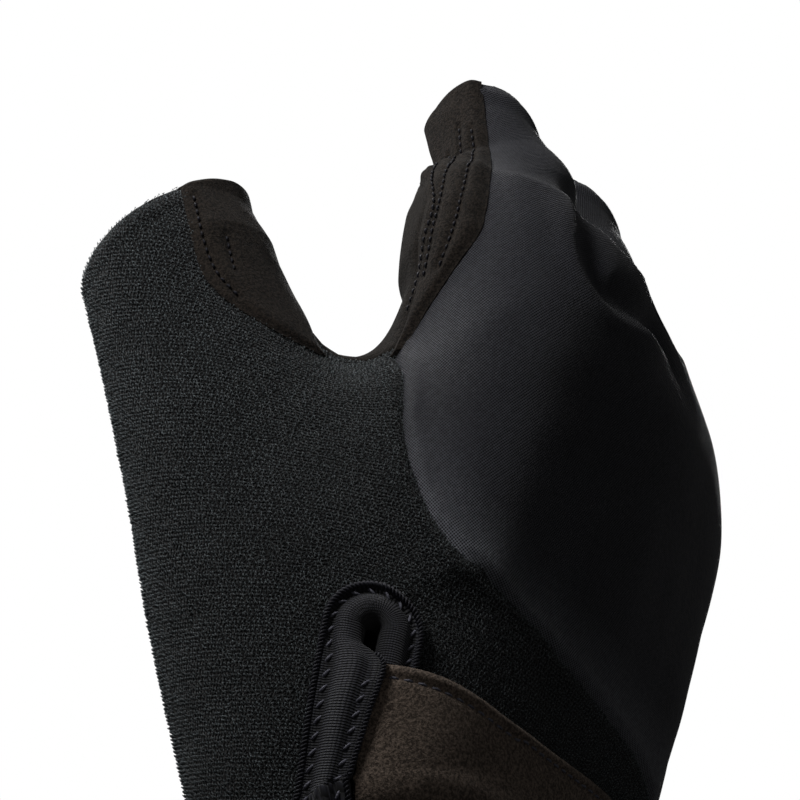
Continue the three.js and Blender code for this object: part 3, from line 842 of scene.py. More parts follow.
def knitMaterial():
    material, tree, shader = newMaterial("stretchKnit")
    where = objectPlace(tree)
    flat = partsOf(tree, node(tree, "ShaderNodeUVMap", uv_map="clothPattern").outputs[0])
    c, s = math.cos(knit["lean"]), math.sin(knit["lean"])
    u = calc(tree, "MULTIPLY_ADD", flat[0], c, times(tree, flat[1], s))
    v = calc(tree, "MULTIPLY_ADD", flat[0], -s, times(tree, flat[1], c))
    v = calc(tree, "MULTIPLY_ADD", noise(tree, where, 90, 3), 0.9, v)
    turns = 2 * math.pi / knit["mesh"]
    across, upward = [calc(tree, "COSINE", times(tree, place, turns)) for place in (u, v)]
    stitch = spread(tree, times(tree, across, upward), 0.6, -0.3)
    stitch = times(tree, stitch, spread(tree, noise(tree, where, 1400, 2), 0.3, 0.7, 0.75, 1.15))
    tint = spread(tree, noise(tree, where, 60, 3), 0.3, 0.7, 0.8, 1.1)
    lit = times(tree, calc(tree, "POWER", stitch, 1.3), tint)
    seamAway, height = attributeOf(tree, "edgeAway"), partsOf(tree, where)[2]
    # Painted light: the knit is painted paler within about 9 mm of its seam and below about 70 mm up the
    # hand
    paintedSeamLight = times(tree, spread(tree, seamAway, 9.0, 1.5), spread(tree, height, 0.07, 0.052))
    shade = blendColor(tree, lit, knit["dark"], knit["lit"])
    dress(tree, shader, stitch, 0.2, {
        "Base Color": blendColor(tree, times(tree, paintedSeamLight, lit), shade, knit["paintedSeamLight"]),
        "Roughness": spread(tree, stitch, 0.0, 1.0, knit["roughness"] + 0.2, knit["roughness"]),
        "Sheen Weight": knit["sheen"],
        "Sheen Roughness": 0.45,
        "Specular IOR Level": 0.35,
    })
    return material


# Synthetic suede: short nap, its colour painted with shade: darker in its hollows, paler on its raised
# spots
def suedeMaterial(name, dark, lit, sheen):
    material, tree, shader = newMaterial(name)
    where = objectPlace(tree)
    nap, tufts = noise(tree, where, 3800, 3, 0.8), noise(tree, where, 2500, 2, 0.6)
    clouds = spread(tree, noise(tree, where, 160, 3, 0.6), 0.3, 0.7, 0, 0.2)
    height = calc(tree, "ADD", times(tree, nap, 0.55), times(tree, tufts, 0.45))
    # Painted shade of the nap by its height, with random clouds of tone
    shade = calc(tree, "ADD", spread(tree, height, 0.44, 0.58, 0, 0.85), clouds)
    dress(tree, shader, height, 0.5, {
        "Base Color": blendColor(tree, shade, dark, lit),
        "Roughness": spread(tree, height, 0.3, 0.7, 1.0, 0.88),
        "Sheen Weight": sheen,
        "Sheen Roughness": 0.6,
        "Specular IOR Level": 0.15,
    })
    return material


# Terry: painted shade on the ground, in a dark lattice along the rows and columns of the loops, and painted
# shade on each loop, darker at its base and paler at its top
def terryMaterial(name, dark, lit, bumpDepth, onPattern):
    material, tree, shader = newMaterial(name)
    where = objectPlace(tree)
    height = yarn = noise(tree, where, 4200, 2, 0.65)
    if onPattern:
        flat = partsOf(tree, node(tree, "ShaderNodeUVMap", uv_map="clothPattern").outputs[0])
        sway = spread(tree, noise(tree, where, 900, 2), 0.2, 0.8, -0.25, 0.25)
        across = ribs(tree, calc(tree, "ADD", flat[0], sway), pile["across"])
        upward = ribs(tree, calc(tree, "ADD", flat[1], sway), pile["upward"])
        # Painted shade on the ground: dark along the rows and columns of the loops
        height = times(tree, times(tree, across, upward), spread(tree, yarn, 0.2, 0.7))
    shade = spread(tree, height, 0.25, 0.8)
    if not onPattern:
        # Painted shade on each loop: darker at its base, paler at its top
        shade = times(tree, shade, spread(tree, attributeOf(tree, "curlTip"), 0.1, 0.9, 0.1, 1.0))
    clouds = spread(tree, noise(tree, where, 140, 3, 0.6), 0.3, 0.7, 0.7, 1.2)
    dress(tree, shader, height, bumpDepth, {
        "Base Color": blendColor(tree, times(tree, shade, clouds), dark, lit),
        "Roughness": 0.95,
        "Sheen Weight": 0.15,
        "Sheen Roughness": 0.5,
        "Specular IOR Level": 0.2,
    })
    return material


# Loops of the terry pile: one small curl shape, set in the rows and columns of the cloth
pile = {
    "across": 0.52,
    "upward": 0.47,
    "reach": 0.23,
    "height": 0.32,
    "curl": 0.36,
    "yarn": 0.064,
    "sides": 3,
    "rings": 3,
    "turn": 0.7,
    "joins": [26, 50],
    "sink": 0.08,
    "cells": 5,
}

knitCloth = knitMaterial()
palmSuede = suedeMaterial("palmSuede", color(0.005, 0.0038, 0.003), color(0.020, 0.0155, 0.012), 0.03)
facingSuede = suedeMaterial("facingSuede", color(0.004, 0.003, 0.0023), color(0.0285, 0.0215, 0.0165), 0.03)
strapSuede = suedeMaterial("strapSuede", color(0.045, 0.034, 0.0265), color(0.22, 0.168, 0.132), 0.04)
groundColors = color(0.0008, 0.001, 0.0013), color(0.007, 0.0085, 0.0095)
terryGround = terryMaterial("terryGround", *groundColors, 0.3, True)
yarnColors = color(0.012, 0.015, 0.0165), color(0.225, 0.262, 0.278)
terryYarn = terryMaterial("terryYarn", *yarnColors, 0.08, False)


# Crossings of the loop rows and columns on the cloth, with the column direction and the outward one
def patternPlaces(panel):
    flat, corners = patternCorners(panel)
    pitch = np.array([pile["across"], pile["upward"]])
    a, b = flat[:, 1] - flat[:, 0], flat[:, 2] - flat[:, 0]
    sideA, sideB = corners[:, 1] - corners[:, 0], corners[:, 2] - corners[:, 0]
    area = a[:, 0] * b[:, 1] - a[:, 1] * b[:, 0]
    outward = unit(np.cross(sideA, sideB))
    column = unit((a[:, :1] * sideB - b[:, :1] * sideA) / area[:, None])
    first = np.floor(flat.min(axis=1) / pitch)
    found = []
    for i in range(-1, pile["cells"]):
        for j in range(pile["cells"]):
            cell = first + [i, j]
            spot = cell * pitch
            spot[:, 0] += 0.5 * pitch[0] * (cell[:, 1] % 2)
            away = spot - flat[:, 0]
            shareA = (away[:, 0] * b[:, 1] - away[:, 1] * b[:, 0]) / area
            shareB = (a[:, 0] * away[:, 1] - a[:, 1] * away[:, 0]) / area
            inside = (shareA >= 0) & (shareB >= 0) & (shareA + shareB < 1)
            place = corners[:, 0] + shareA[:, None] * sideA + shareB[:, None] * sideB
            found.append([place[inside], column[inside], outward[inside]])
    return [np.concatenate(fields) for fields in zip(*found)]


def curlShape():
    points, faces = [], []
    n = pile["sides"]
    for i in range(pile["rings"]):
        share = i / (pile["rings"] - 1)
        rise = math.sin(math.pi * (0.08 + 0.84 * share))
        middle = np.array([pile["reach"] * math.cos(math.pi * share), pile["curl"] * (rise - 0.5),
                           pile["height"] * rise - 0.08])
        for k in range(n):
            turn = 2 * math.pi * (k + 0.25) / n
            points.append(middle + pile["yarn"] * np.array([0, math.cos(turn), math.sin(turn)]))
            if i:
                a, b = (i - 1) * n + k, (i - 1) * n + (k + 1) % n
                faces.append([a, b, b + n, a + n])
    return np.array(points), np.array(faces)


def pilePiece(name, places, columns, outward, rng):
    shape, faces = curlShape()
    count = len(places)
    turn = rng.normal(0, pile["turn"], count)[:, None]
    aside = np.cross(columns, outward)
    along = columns * np.cos(turn) + aside * np.sin(turn)
    aside = np.cross(along, outward)
    size = rng.uniform(0.8, 1.2, (count, 3))
    places = places + 0.05 * rng.normal(size=places.shape)
    local = shape[None] * size[:, None]
    points = (places[:, None] + aside[:, None] * local[..., :1] + along[:, None] * local[..., 1:2]
              + outward[:, None] * local[..., 2:])
    allFaces = faces[None] + len(shape) * np.arange(count)[:, None, None]
    piece = newPiece(name, points.reshape(-1, 3), allFaces.reshape(-1, 4))
    # Share of each loop's height, which its material turns into painted shade at the base
    tip = np.sin(math.pi * np.arange(pile["rings"]) / (pile["rings"] - 1)).repeat(pile["sides"])
    piece.data.attributes.new("curlTip", "FLOAT", "POINT").data.foreach_set("value", np.tile(tip, count))
    return piece


# Cloth panels
noCut = np.full(len(skinPoints), -ends["none"])
dorsal = clothPanel("backPanel", backRegion, noCut)
layOutPattern(dorsal)
addWall(dorsal, glove["wall"], glove["edgeRound"])
finishPiece(dorsal, "dorsal_panel", knitCloth)
palm = clothPanel("palmPanel", palmRegion, noCut)
addWall(palm, glove["wall"], glove["edgeRound"])
finishPiece(palm, "palm_panel", palmSuede)
slitCut = -slitValue(skinPoints, slit["half"] + slit["turn"])
terryPanel = clothPanel("thumbTerry", thumbRegion, slitCut, pile["sink"])
layOutPattern(terryPanel)
loopPlaces = patternPlaces(terryPanel)
addWall(terryPanel, glove["wall"], glove["edgeRound"])
finishPiece(terryPanel, "thumb_panel", terryGround)
print("cloth panels made")

rng = np.random.default_rng(11)
low = -ends["none"]
for name, high in zip(("wristPile", "handPile", "thumbPile"), pile["joins"] + [ends["none"]]):
    part = (loopPlaces[0][:, 2] >= low) & (loopPlaces[0][:, 2] < high)
    loops = pilePiece(name, *[field[part] for field in loopPlaces], rng)
    finishPiece(loops, "thumb_panel", terryYarn)
    low = high
print("terry pile made")


# Faces of a grid of points, rows first
def gridFaces(rowCount, columnCount, closed=False):
    last = columnCount if closed else columnCount - 1
    i, j = np.meshgrid(np.arange(rowCount - 1), np.arange(last), indexing="ij")
    k = (j + 1) % columnCount
    quad = [i * columnCount + j, i * columnCount + k, (i + 1) * columnCount + k, (i + 1) * columnCount + j]
    return np.stack(quad, -1).reshape(-1, 4)


# Sheet on a grid, facing the way its normals say, then given its wall
def gridSheet(name, points, normals, thickness, edgeRound, places=None):
    faces = gridFaces(*points.shape[:2])
    flat, outward = points.reshape(-1, 3), normals.reshape(-1, 3)
    a, b, c = flat[faces[:, 0]], flat[faces[:, 1]], flat[faces[:, 3]]
    if np.sum(dot(np.cross(b - a, c - a), outward[faces[:, 0]])) < 0:
        faces = faces[:, ::-1]
    sheet = newPiece(name, flat, faces)
    if places is not None:
        attribute = sheet.data.attributes.new("tapePlace", "FLOAT_VECTOR", "POINT")
        attribute.data.foreach_set("vector", places.reshape(-1))
    addWall(sheet, thickness, edgeRound)
    return sheet


def chartFace(tube, stations, degrees):
    turn = np.radians(degrees)
    directions = np.cos(turn)[..., None] * tube["side"] + np.sin(turn)[..., None] * tube["depth"]
    return outerFace(tube["root"] + stations[..., None] * tube["axis"], directions)


# Stations and angles of a path on a tube, smoothed and evenly stepped
def chartPath(tube, rows, steps):
    rows = np.array(rows, float)
    order = rows[np.argsort(rows[:, 0])]
    stations = np.linspace(order[0, 0], order[-1, 0], steps)
    return chartFace(tube, stations, rowsAt(order, stations)[:, 1])


def arcOf(path):
    return np.concatenate([[0], np.cumsum(np.linalg.norm(np.diff(path, axis=0), axis=1))])


# Points and outward directions at distances along a path
def alongPath(path, normals, arc, at):
    middle, outward = [np.stack([np.interp(at, arc, field[:, n]) for n in range(3)], -1)
                       for field in (path, normals)]
    return middle, unit(outward)


# Closed tube of rings: its sides and its two ends
def tubeFaces(rings, sides):
    faces = gridFaces(rings, sides, closed=True).tolist()
    return faces + [list(range(sides))[::-1], [(rings - 1) * sides + k for k in range(sides)]]


thread = {"rings": 5, "sides": 6, "endWidth": 0.65, "rise": 0.9, "sink": 0.8}


# Separate stitches along a path: short threads that dip into the cloth at both ends
def stitchMesh(path, normals, long, gap, thick, lift, slant=0.0):
    arc = arcOf(path)
    count = max(1, int((arc[-1] + gap) / (long + gap)))
    starts = (np.arange(count) + 0.5) * arc[-1] / count - long / 2
    rings, sides = thread["rings"], thread["sides"]
    share = np.linspace(0, 1, rings)
    middle, outward = alongPath(path, normals, arc, starts[:, None] + share * long)
    along = unit(middle[:, -1:] - middle[:, :1]) + np.zeros_like(middle)
    aside = unit(np.cross(along, outward))
    rise = lift + thread["rise"] * thick * np.sin(math.pi * share) - thread["sink"] * thick
    middle = middle + outward * rise[None, :, None] + aside * (slant * (share - 0.5))[None, :, None]
    turn = 2 * math.pi * np.arange(sides) / sides
    radius = thick * (thread["endWidth"] + (1 - thread["endWidth"]) * np.sin(math.pi * share))
    ring = (np.cos(turn)[:, None] * outward[:, :, None] + np.sin(turn)[:, None] * aside[:, :, None])
    points = middle[:, :, None] + radius[None, :, None, None] * ring
    one = tubeFaces(rings, sides)
    faces = [[n * rings * sides + k for k in face] for n in range(count) for face in one]
    return points.reshape(-1, 3), faces


# Several small meshes made one piece, turned to face outwards
def joinedPiece(name, parts):
    points, faces, start = [], [], 0
    for partPoints, partFaces in parts:
        points.append(partPoints)
        faces += [[start + k for k in face] for face in partFaces]
        start += len(partPoints)
    piece = newPiece(name, np.concatenate(points), faces)
    setMode(piece, "EDIT")
    bpy.ops.mesh.select_all(action="SELECT")
    bpy.ops.mesh.normals_make_consistent(inside=False)
    bpy.ops.object.mode_set(mode="OBJECT")
    return piece


cord = {"pitch": 0.95, "plyWidth": 1.08, "plies": 2, "sides": 6}


# Two-ply cord laid along a path
def cordMesh(path, normals, ply, stepLength):
    arc = arcOf(path)
    count, sides = int(arc[-1] / stepLength), cord["sides"]
    at = np.linspace(0, arc[-1], count)
    middle, outward = alongPath(path, normals, arc, at)
    aside = unit(np.cross(unit(np.gradient(middle, axis=0)), outward))
    turn = 2 * math.pi * np.arange(sides) / sides
    ring = np.cos(turn)[:, None] * outward[:, None] + np.sin(turn)[:, None] * aside[:, None]
    parts = []
    for strand in range(cord["plies"]):
        phase = 2 * math.pi * (at / cord["pitch"] + strand / cord["plies"])
        center = middle + ply * (np.cos(phase)[:, None] * outward + np.sin(phase)[:, None] * aside)
        points = center[:, None] + cord["plyWidth"] * ply * ring
        parts.append((points.reshape(-1, 3), tubeFaces(count, sides)))
    return parts


# Tape: width, level and wall, its crown, its groove and its ribs, in millimetres
tape = {
    "width": 4.1,
    "rightLeg": 0.88,
    "level": 0.6,
    "thick": 0.65,
    "inside": -2.15,
    "wall": 0.5,
    "step": 0.3,
    "across": 18,
    "arcSteps": 36,
    "crown": 0.75,
    "crownWidth": 2.9,
    "crownPower": 0.8,
    "groove": [-0.5, 3.3, 0.4],
    "channel": [-0.75, 0.8, 0.4],
    "rib": 0.31,
    "grain": 0.3,
    # the right leg lies lower under the strap
    "under": 0.75,
    "underTop": 33.5,
    "underFade": 2,
    "innerCordTop": 34.2,
}


# Ribbed tape, with painted shade between its ribs, in its groove and at its fold
def tapeMaterial():
    material, tree, shader = newMaterial("ribbedTape")
    where = objectPlace(tree)
    parts = partsOf(tree, attributeOf(tree, "tapePlace", "Vector"))
    rib = ribs(tree, calc(tree, "MULTIPLY_ADD", noise(tree, where, 500, 1), 0.12, parts[0]), tape["rib"])
    grain = ribs(tree, parts[1], tape["grain"])
    height = times(tree, rib, calc(tree, "MULTIPLY_ADD", grain, 0.5, 0.5))
    fuzz = spread(tree, noise(tree, where, 2500, 2), 0.3, 0.7, 0.6, 1.2)
    # Colour follows the rib height: painted shade between the ribs
    lit = times(tree, calc(tree, "POWER", height, 2.2), fuzz)
    # Painted shade in the groove
    hollow = calc(tree, "ABSOLUTE", calc(tree, "SUBTRACT", parts[1], tape["groove"][1]))
    lit = times(tree, lit, spread(tree, hollow, 0.1, 0.5, 0.25, 1.0))
    # Painted shade towards the folded edge
    lit = times(tree, lit, spread(tree, parts[1], 0.0, 0.9, 0.35, 1.0))
    dress(tree, shader, height, 0.18, {
        "Base Color": blendColor(tree, lit, color(0.0008, 0.0008, 0.0014), color(0.034, 0.035, 0.049)),
        "Roughness": 0.7,
        "Specular IOR Level": 0.3,
        "Sheen Weight": 0.1,
    })
    return material


def threadMaterial(name, dark, lit):
    material, tree, shader = newMaterial(name)
    fibers = noise(tree, objectPlace(tree), 4200, 2, 0.6)
    dress(tree, shader, fibers, 0.08, {
        "Base Color": blendColor(tree, spread(tree, fibers, 0.3, 0.7), dark, lit),
        "Roughness": 0.6,
        "Specular IOR Level": 0.3,
    })
    return material


ribbedTape = tapeMaterial()
navyThread = threadMaterial("navyThread", color(0.001, 0.001, 0.0025), color(0.006, 0.006, 0.013))
cordThread = threadMaterial("cordThread", color(0.002, 0.002, 0.0035), color(0.03, 0.03, 0.041))
paleThread = threadMaterial("paleThread", color(0.035, 0.035, 0.047), color(0.17, 0.17, 0.21))

# Suede facings on the index finger and the thumb: station, back angle, front angle
indexFacing = {
    "rows": [
        [-5.5, -226, -231],
        [-2, -217, -230],
        [2.3, -198, -225],
        [7, -177, -221],
        [11, -170, -214],
        [16, -165, -208],
        [21, -161, -214],
        [27, -160, -236],
        [37.6, -157, -252],
    ],
    "stitches": [
        [[30.2, -186], [22.4, -190], [15.4, -194], [9.9, -202], [3.5, -214]],
        [[28.9, -173.5], [19.6, -176], [14, -182], [7.7, -192], [3.5, -203]],
        [[27, -204], [22, -204], [16, -199.5], [12.5, -201], [8, -211], [0, -226]],
    ],
    "radius": 9.3,
    "short": 0.2,
    "edgeDrop": 0.85,
    "sink": 0.1,
}
thumbFacing = {
    "rows": [
        [48.6, 189, 193],
        [49.6, 181, 195],
        [51.4, 169, 198],
        [54, 157, 204],
        [57.4, 146, 212],
        [61, 139.5, 222],
        [67, 139, 229],
        [75, 142, 232],
    ],
    "stitches": [
        [[72.5, 148], [66, 145], [60.5, 147], [56.5, 155]],
        [[66, 160], [60.5, 158]],
    ],
    "radius": 12.3,
    "short": 0.5,
    "edgeDrop": 0.65,
    "sink": 0.3,
}
suede = {
    "lift": 0.15,
    "thick": 0.95,
    "wall": 0.75,
    "edgeRound": 0.25,
    "edgeWidth": 1.1,
    "steps": 100,
    "round": 44,
    # strip folded round the open end: rows, how far out, half its depth
    "turnIn": 8,
    "foldOut": 0.6,
    "foldBack": 1.2,
    "ragged": 0.5,
    "uneven": 0.1,
    "dimple": 0.38,
    "dimpleWidth": 0.5,
    "dimpleSide": np.array([1.0, 0.3, 0]),
    "stitchSink": 0.2,
}


# Distance from the nearest of the given border rows
def borderDistance(points, *borders):
    return np.min([np.linalg.norm(points - border, axis=-1) for border in borders], axis=0)


# Stations of a tube's open end at the given angles
def endStations(tube, degrees, radius):
    normal, turn = tube["rimNormal"], np.radians(degrees)
    lean = np.cos(turn) * (tube["side"] @ normal) + np.sin(turn) * (tube["depth"] @ normal)
    return (tube["rimPoint"] - tube["root"]) @ tube["axis"] - radius * lean / (tube["axis"] @ normal)


def suedeFacing(name, tube, facing):
    rows = facing["rows"]
    stations = np.linspace(rows[0][0], rows[-1][0], suede["steps"])
    table = rowsAt(rows, stations)
    ragged = suede["ragged"] * waves(stations[:, None] * np.array([1.0, 0, 0]), 2.3, 8)
    share = np.linspace(0, 1, suede["round"])
    degrees = (table[:, 1] + ragged)[:, None] * (1 - share) + table[:, 2:3] * share
    last = endStations(tube, degrees, facing["radius"]) - facing["short"]
    grow = (stations - stations[0]) / (stations[-1] - stations[0])
    along = stations[:, None] + grow[:, None] * (last - stations[-1])
    points, normals = chartFace(tube, along, degrees)
    edge = borderDistance(points, points[:, :1], points[:, -1:])
    flat = points.reshape(-1, 3)
    level = suede["lift"] + suede["thick"] - facing["sink"]
    lift = level - facing["edgeDrop"] * bell(edge, suede["edgeWidth"])
    lift = lift + foldLift(flat).reshape(edge.shape)
    dimple = np.zeros(len(flat))
    for row in facing["stitches"]:
        path, _ = chartPath(tube, row, 40)
        dimple += suede["dimple"] * bell(fromPath(flat, path, suede["dimpleSide"]), suede["dimpleWidth"])
    lift = lift - dimple.reshape(lift.shape) + suede["uneven"] * waves(points, 5, 9)
    top = points + normals * lift[..., None]
    half = suede["foldBack"]
    middle = lift[-1] - half
    folded = []
    for turn in np.linspace(0, math.pi, suede["turnIn"] + 1)[1:]:
        out = tube["rimNormal"] * (suede["foldOut"] * math.sin(turn))
        folded.append(points[-1] + out + normals[-1] * (middle + half * math.cos(turn))[:, None])
    grid = np.concatenate([top, np.array(folded)])
    outwards = np.concatenate([normals, np.repeat(normals[-1:], len(folded), axis=0)])
    return gridSheet(name, grid, outwards, suede["wall"], suede["edgeRound"])


def suedeStitches(name, tube, facing):
    parts = []
    level = suede["lift"] + suede["thick"] - facing["sink"] - suede["stitchSink"]
    for row in facing["stitches"]:
        path, normals = chartPath(tube, row, 60)
        path = path + normals * foldLift(path)[:, None]
        parts.append(stitchMesh(path, normals, long=0.72, gap=0.45, thick=0.17, lift=level))
    return joinedPiece(name, parts)


for label, tube, facing in (("index", fingers[0], indexFacing), ("thumb", thumb, thumbFacing)):
    piece = suedeFacing(label + "Facing", tube, facing)
    finishPiece(piece, label + "_facing", facingSuede)
    piece = suedeStitches(label + "FacingStitches", tube, facing)
    finishPiece(piece, label + "_facing", navyThread)
print("facings made")

# How the left leg laps over the closed slit: height, sideways reach, rise over the strap
lapRows = [
    [0, 0.5, 1.3],
    [10, 0.7, 1.5],
    [18, 0.9, 1.7],
    [27, 1.9, 1.9],
    [31, 2.5, 2.0],
    [33, 2.4, 1.8],
    [34.4, 1.2, 0.9],
    [35.6, 0, 0],
    [42, 0, 0],
]


# Path round the slit at an offset from its edge: across, height, distance along, share of the left leg
def slitRoute(offset):
    radius = slit["half"] + offset
    arcHeight = slit["top"] - slit["half"]
    legSteps = int(arcHeight / tape["step"])
    leg = np.linspace(0, arcHeight, legSteps, endpoint=False)
    turn = np.linspace(math.pi, 0, tape["arcSteps"])
    across = np.concatenate([np.full(legSteps, -radius), radius * np.cos(turn), np.full(legSteps, radius)])
    across = np.where(across > 0, across * tape["rightLeg"], across)
    height = np.concatenate([leg, arcHeight + radius * np.sin(turn), leg[::-1]])
    middle = slit["half"] + 0.5 * tape["width"]
    onArc = arcHeight + middle * (math.pi - turn)
    along = np.concatenate([leg, onArc, onArc[-1] + arcHeight - leg[::-1]])
    fading = np.clip(1 - 2 * (math.pi - turn) / math.pi, 0, 1)
    return across, height, along, np.concatenate([np.ones(legSteps), fading, np.zeros(legSteps)])


# Offsets and levels round the tape's section: over its top, round its fold, back along its inside
def tapeSection():
    offsets = np.linspace(tape["width"], 0, tape["across"])
    arch = np.sin(math.pi * np.clip(offsets / tape["crownWidth"], 0, 1)) ** tape["crownPower"]
    crown = tape["level"] + tape["thick"] + tape["crown"] * arch + bells(offsets, [tape["groove"]])
    fold = np.linspace(0, math.pi, 7)[1:-1]
    middle, half = (crown[-1] + tape["inside"]) / 2, (crown[-1] - tape["inside"]) / 2
    back = np.linspace(0, tape["width"] - 0.4, 5)
    offsets = np.concatenate([offsets, -0.35 * np.sin(fold), back])
    return offsets, np.concatenate([crown, middle + half * np.cos(fold), np.full(5, tape["inside"])])


# One column of a tape: the folded face, the column on it, its outward side and its place on the tape
def tapeColumn(starts, directions, level, along, offset):
    points, normals = outerFace(starts, directions)
    points = points + normals * foldLift(points)[:, None]
    level = level + np.zeros(len(points))
    places = np.stack([along, np.full(len(along), offset), 0 * along], -1)
    return points + normals * level[:, None], normals * np.sign(level[0]), places


def slitTape():
    columns = []
    for number, (offset, level) in enumerate(zip(*tapeSection())):
        across, height, along, left = slitRoute(offset)
        share = 1 - np.clip(offset / tape["width"], 0, 1)
        lap = rowsAt(lapRows, height)
        if number < tape["across"] + 2:
            across = across + lap[:, 1] * share * left
            channel = bells(offset, [tape["channel"]]) * np.clip(lap[:, 2] / 1.5, 0, 1)
            level = level + (lap[:, 2] * share + channel) * left
            low = np.clip((tape["underTop"] - height) / tape["underFade"], 0, 1)
            level = level - tape["under"] * (1 - left) * low
        starts = across[:, None] * slitSide + height[:, None] * np.array([0, 0, 1.0])
        columns.append(tapeColumn(starts, slitOut + np.zeros_like(starts), level, along, offset))
    return [np.stack(fields, 1) for fields in zip(*columns)]


slitPoints, slitNormals, slitPlaces = slitTape()
piece = gridSheet("slitTape", slitPoints, slitNormals, tape["wall"], 0, slitPlaces)
finishPiece(piece, "slit_binding", ribbedTape)
inner = tape["across"] - 1
legEnd = int(np.sum(slitPlaces[:, 0, 0] < tape["innerCordTop"]))
cords = cordMesh(slitPoints[:, 0], slitNormals[:, 0], 0.21, 0.16)
cords += cordMesh(slitPoints[:legEnd, inner], slitNormals[:legEnd, inner], 0.2, 0.16)
finishPiece(joinedPiece("slitTapeCords", cords), "slit_binding", cordThread)
threads = []
for column, last in ((3, len(slitPoints)), (inner - 3, legEnd - 10)):
    threads.append(stitchMesh(slitPoints[:last, column], slitNormals[:last, column],
                              long=1.15, gap=0.75, thick=0.23, lift=0.14, slant=0.8))
finishPiece(joinedPiece("slitTapeStitches", threads), "slit_binding", paleThread)

# The same tape round the wrist edge: angle from the slit where it starts, steps, height, radius
cuff = {"start": 11.0, "steps": 268, "height": 0.4, "radius": 24}


def cuffTape():
    degrees = np.linspace(cuff["start"], 360 - cuff["start"], cuff["steps"])
    turn = slit["angle"] + np.radians(degrees)
    directions = np.stack([np.cos(turn), np.sin(turn), np.zeros(len(turn))], -1)
    columns = []
    for offset, level in zip(*tapeSection()):
        starts = np.array([0, 0, offset + cuff["height"]]) + np.zeros_like(directions)
        columns.append(tapeColumn(starts, directions, level, np.radians(degrees) * cuff["radius"], offset))
    return [np.stack(fields, 1) for fields in zip(*columns)]


cuffPoints, cuffNormals, cuffPlaces = cuffTape()
piece = gridSheet("cuffTape", cuffPoints, cuffNormals, tape["wall"], 0, cuffPlaces)
finishPiece(piece, "cuff_binding", ribbedTape)
cords = cordMesh(cuffPoints[:, 0], cuffNormals[:, 0], 0.21, 0.2)
threads = [stitchMesh(cuffPoints[:, 2], cuffNormals[:, 2],
                      long=1.25, gap=0.95, thick=0.15, lift=0.05, slant=0.5)]
finishPiece(joinedPiece("cuffTapeCord", cords), "cuff_binding", cordThread)
finishPiece(joinedPiece("cuffTapeStitches", threads), "cuff_binding", paleThread)
print("tapes made")

# Closing strap: angle, lower edge, upper edge as shares of the palm length, level over the face
strap = {
    "rows": [
        [-170.2, 0.072, 0.316, 1.35],
        [-167, 0.072, 0.319, 1.55],
        [-163, 0.073, 0.323, 1.55],
        [-158, 0.074, 0.327, 1.5],
        [-151, 0.076, 0.331, 1.1],
        [-142, 0.078, 0.335, 0.75],
        [-128, 0.085, 0.345, 0.55],
        [-114, 0.095, 0.357, 0.55],
        [-98, 0.11, 0.37, 0.55],
        [-81, 0.125, 0.383, 0.55],
        [-66, 0.14, 0.387, 0.55],
        [-56, 0.16, 0.376, 0.55],
        [-50, 0.185, 0.36, 0.55],
        [-47, 0.22, 0.335, 0.55],
    ],
    "steps": 160,
    "bands": 64,
    "thick": 1.1,
    "edgeRound": 0.25,
    "hem": 1.5,
    # lift by the distance from the edge: lift, place, width
    "bells": [[0.22, 0.75, 0.75], [-0.45, 1.5, 0.32], [-0.3, 0, 0.35]],
    "uneven": 0.12,
    "stitchEnd": 8,
}


def strapSheet():
    degrees = np.linspace(strap["rows"][0][0], strap["rows"][-1][0], strap["steps"])
    table = rowsAt(strap["rows"], degrees)
    share = np.linspace(0, 1, strap["bands"])
    height = (table[:, 1:2] * (1 - share) + table[:, 2:3] * share) * glove["palmLength"]
    turn = np.radians(degrees)[:, None] + 0 * height
    directions = np.stack([np.cos(turn), np.sin(turn), 0 * turn], -1)
    starts = height[..., None] * np.array([0, 0, 1.0])
    points, normals = outerFace(starts, directions)
    points = points + normals * foldLift(points.reshape(-1, 3)).reshape(height.shape)[..., None]
    edge = borderDistance(points, points[:, -1:], points[:, :1], points[-1:])
    lift = table[:, 3:4] + strap["thick"] + bells(edge, strap["bells"])
    return points, normals, lift + strap["uneven"] * waves(points, 14, 4)


def strapStitches(points, normals, lift):
    parts = []
    at = np.arange(len(points) - strap["stitchEnd"])
    for border in (points[:, -1:], points[:, :1]):
        column = np.argmin(np.abs(borderDistance(points, border) - strap["hem"]), axis=1)[at]
        path = points[at, column] + normals[at, column] * lift[at, column][:, None]
        parts.append(stitchMesh(path, normals[at, column], long=1.1, gap=0.6, thick=0.16, lift=0.12))
    return joinedPiece("strapStitches", parts)


strapPoints, strapNormals, strapLift = strapSheet()
piece = gridSheet("closingStrap", strapPoints + strapNormals * strapLift[..., None], strapNormals,
                  strap["thick"], strap["edgeRound"])
finishPiece(piece, "closure_strap", strapSuede)
piece = strapStitches(strapPoints, strapNormals, strapLift)
finishPiece(piece, "closure_strap", paleThread)
print("strap made")

# Camera at the photograph's angle
view = {"azimuth": -62, "elevation": -37, "roll": 13, "distance": 450.0, "across": 100.0}
viewTarget = np.array([-23.6, 4.3, 82.8])


def cameraAxes():
    a, e, r = [math.radians(view[key]) for key in ("azimuth", "elevation", "roll")]
    back = np.array([math.sin(a) * math.cos(e), -math.cos(a) * math.cos(e), math.sin(e)])
    level = np.array([math.cos(a), math.sin(a), 0])
    upright = np.cross(back, level)
    right = level * math.cos(r) + upright * math.sin(r)
    return right, np.cross(back, right), back


def matrixOf(right, upward, back, location):
    rows = [[right[n], upward[n], back[n], location[n] * mm] for n in range(3)]
    return rows + [[0, 0, 0, 1]]


def makeCamera():
    right, upward, back = cameraAxes()
    data = bpy.data.cameras.new("camera")
    data.sensor_width = 36
    data.lens = data.sensor_width * view["distance"] / view["across"]
    data.clip_start = 0.01
    camera = bpy.data.objects.new("camera", data)
    bpy.context.scene.collection.objects.link(camera)
    camera.matrix_world = Matrix(matrixOf(right, upward, back, viewTarget + back * view["distance"]))
    bpy.context.scene.camera = camera


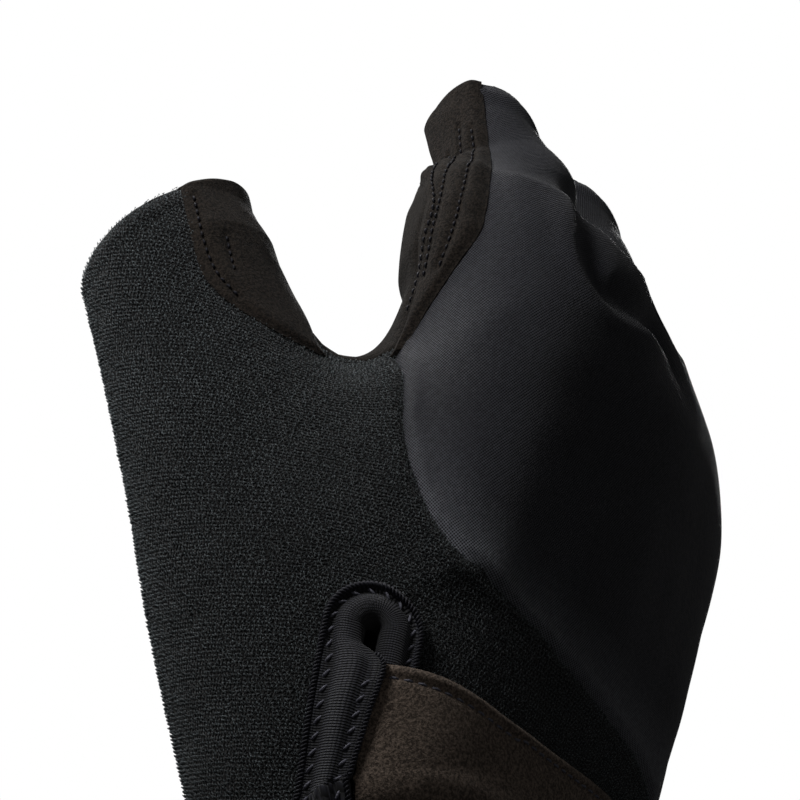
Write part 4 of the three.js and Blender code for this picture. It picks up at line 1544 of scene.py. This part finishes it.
# Soft lights seen from the camera: right, up, back, size, power
lamps = {
    "key": [-85, 145, 75, 60, 0.24],
    "fill": [60, -60, 400, 300, 0.04],
    "palmLight": [60, 60, -700, 300, 3.6],
    "topLight": [-500, 900, -700, 700, 10],
}


def areaLight(name, rightward, upward, backward, size, power):
    right, up, back = cameraAxes()
    location = viewTarget + right * rightward + up * upward + back * backward
    data = bpy.data.lights.new(name, "AREA")
    data.shape = "DISK"
    data.size = size * mm
    data.energy = power
    lamp = bpy.data.objects.new(name, data)
    bpy.context.scene.collection.objects.link(lamp)
    aim = Vector(((viewTarget - location) * mm).tolist())
    lamp.location = (location * mm).tolist()
    lamp.visible_camera = False
    lamp.rotation_euler = aim.to_track_quat("-Z", "Y").to_euler()


# White paper all round to the eye, a dim room to the cloth
def makeWorld():
    world = bpy.data.worlds.new("studio")
    bpy.context.scene.world = world
    world.use_nodes = True
    tree = world.node_tree
    direction = node(tree, "ShaderNodeTexCoord").outputs["Generated"]
    height = node(tree, "ShaderNodeSeparateXYZ", {0: direction}).outputs[2]
    room = spread(tree, height, -0.1, 0.3, 0.03, 0.08)
    seen = node(tree, "ShaderNodeLightPath").outputs["Is Camera Ray"]
    background = tree.nodes["Background"]
    background.inputs["Color"].default_value = (1, 1, 1, 1)
    tree.links.new(calc(tree, "MAXIMUM", seen, room), background.inputs["Strength"])


def makeFloor():
    bpy.ops.object.select_all(action="DESELECT")
    bpy.ops.mesh.primitive_plane_add(size=3, location=(0, 0, -0.3))
    floor = bpy.context.active_object
    floor.name = "floor"
    material, tree, shader = newMaterial("floorPaper")
    shader.inputs["Base Color"].default_value = (0.8, 0.8, 0.8, 1)
    shader.inputs["Roughness"].default_value = 0.9
    shader.inputs["Emission Color"].default_value = (1, 1, 1, 1)
    shader.inputs["Emission Strength"].default_value = 0.5
    floor.data.materials.append(material)
    floor.visible_diffuse = floor.visible_glossy = False


makeCamera()
makeWorld()
makeFloor()
for name, row in lamps.items():
    areaLight(name, *row)
bpy.context.scene.view_settings.view_transform = "Standard"
print("studio made")
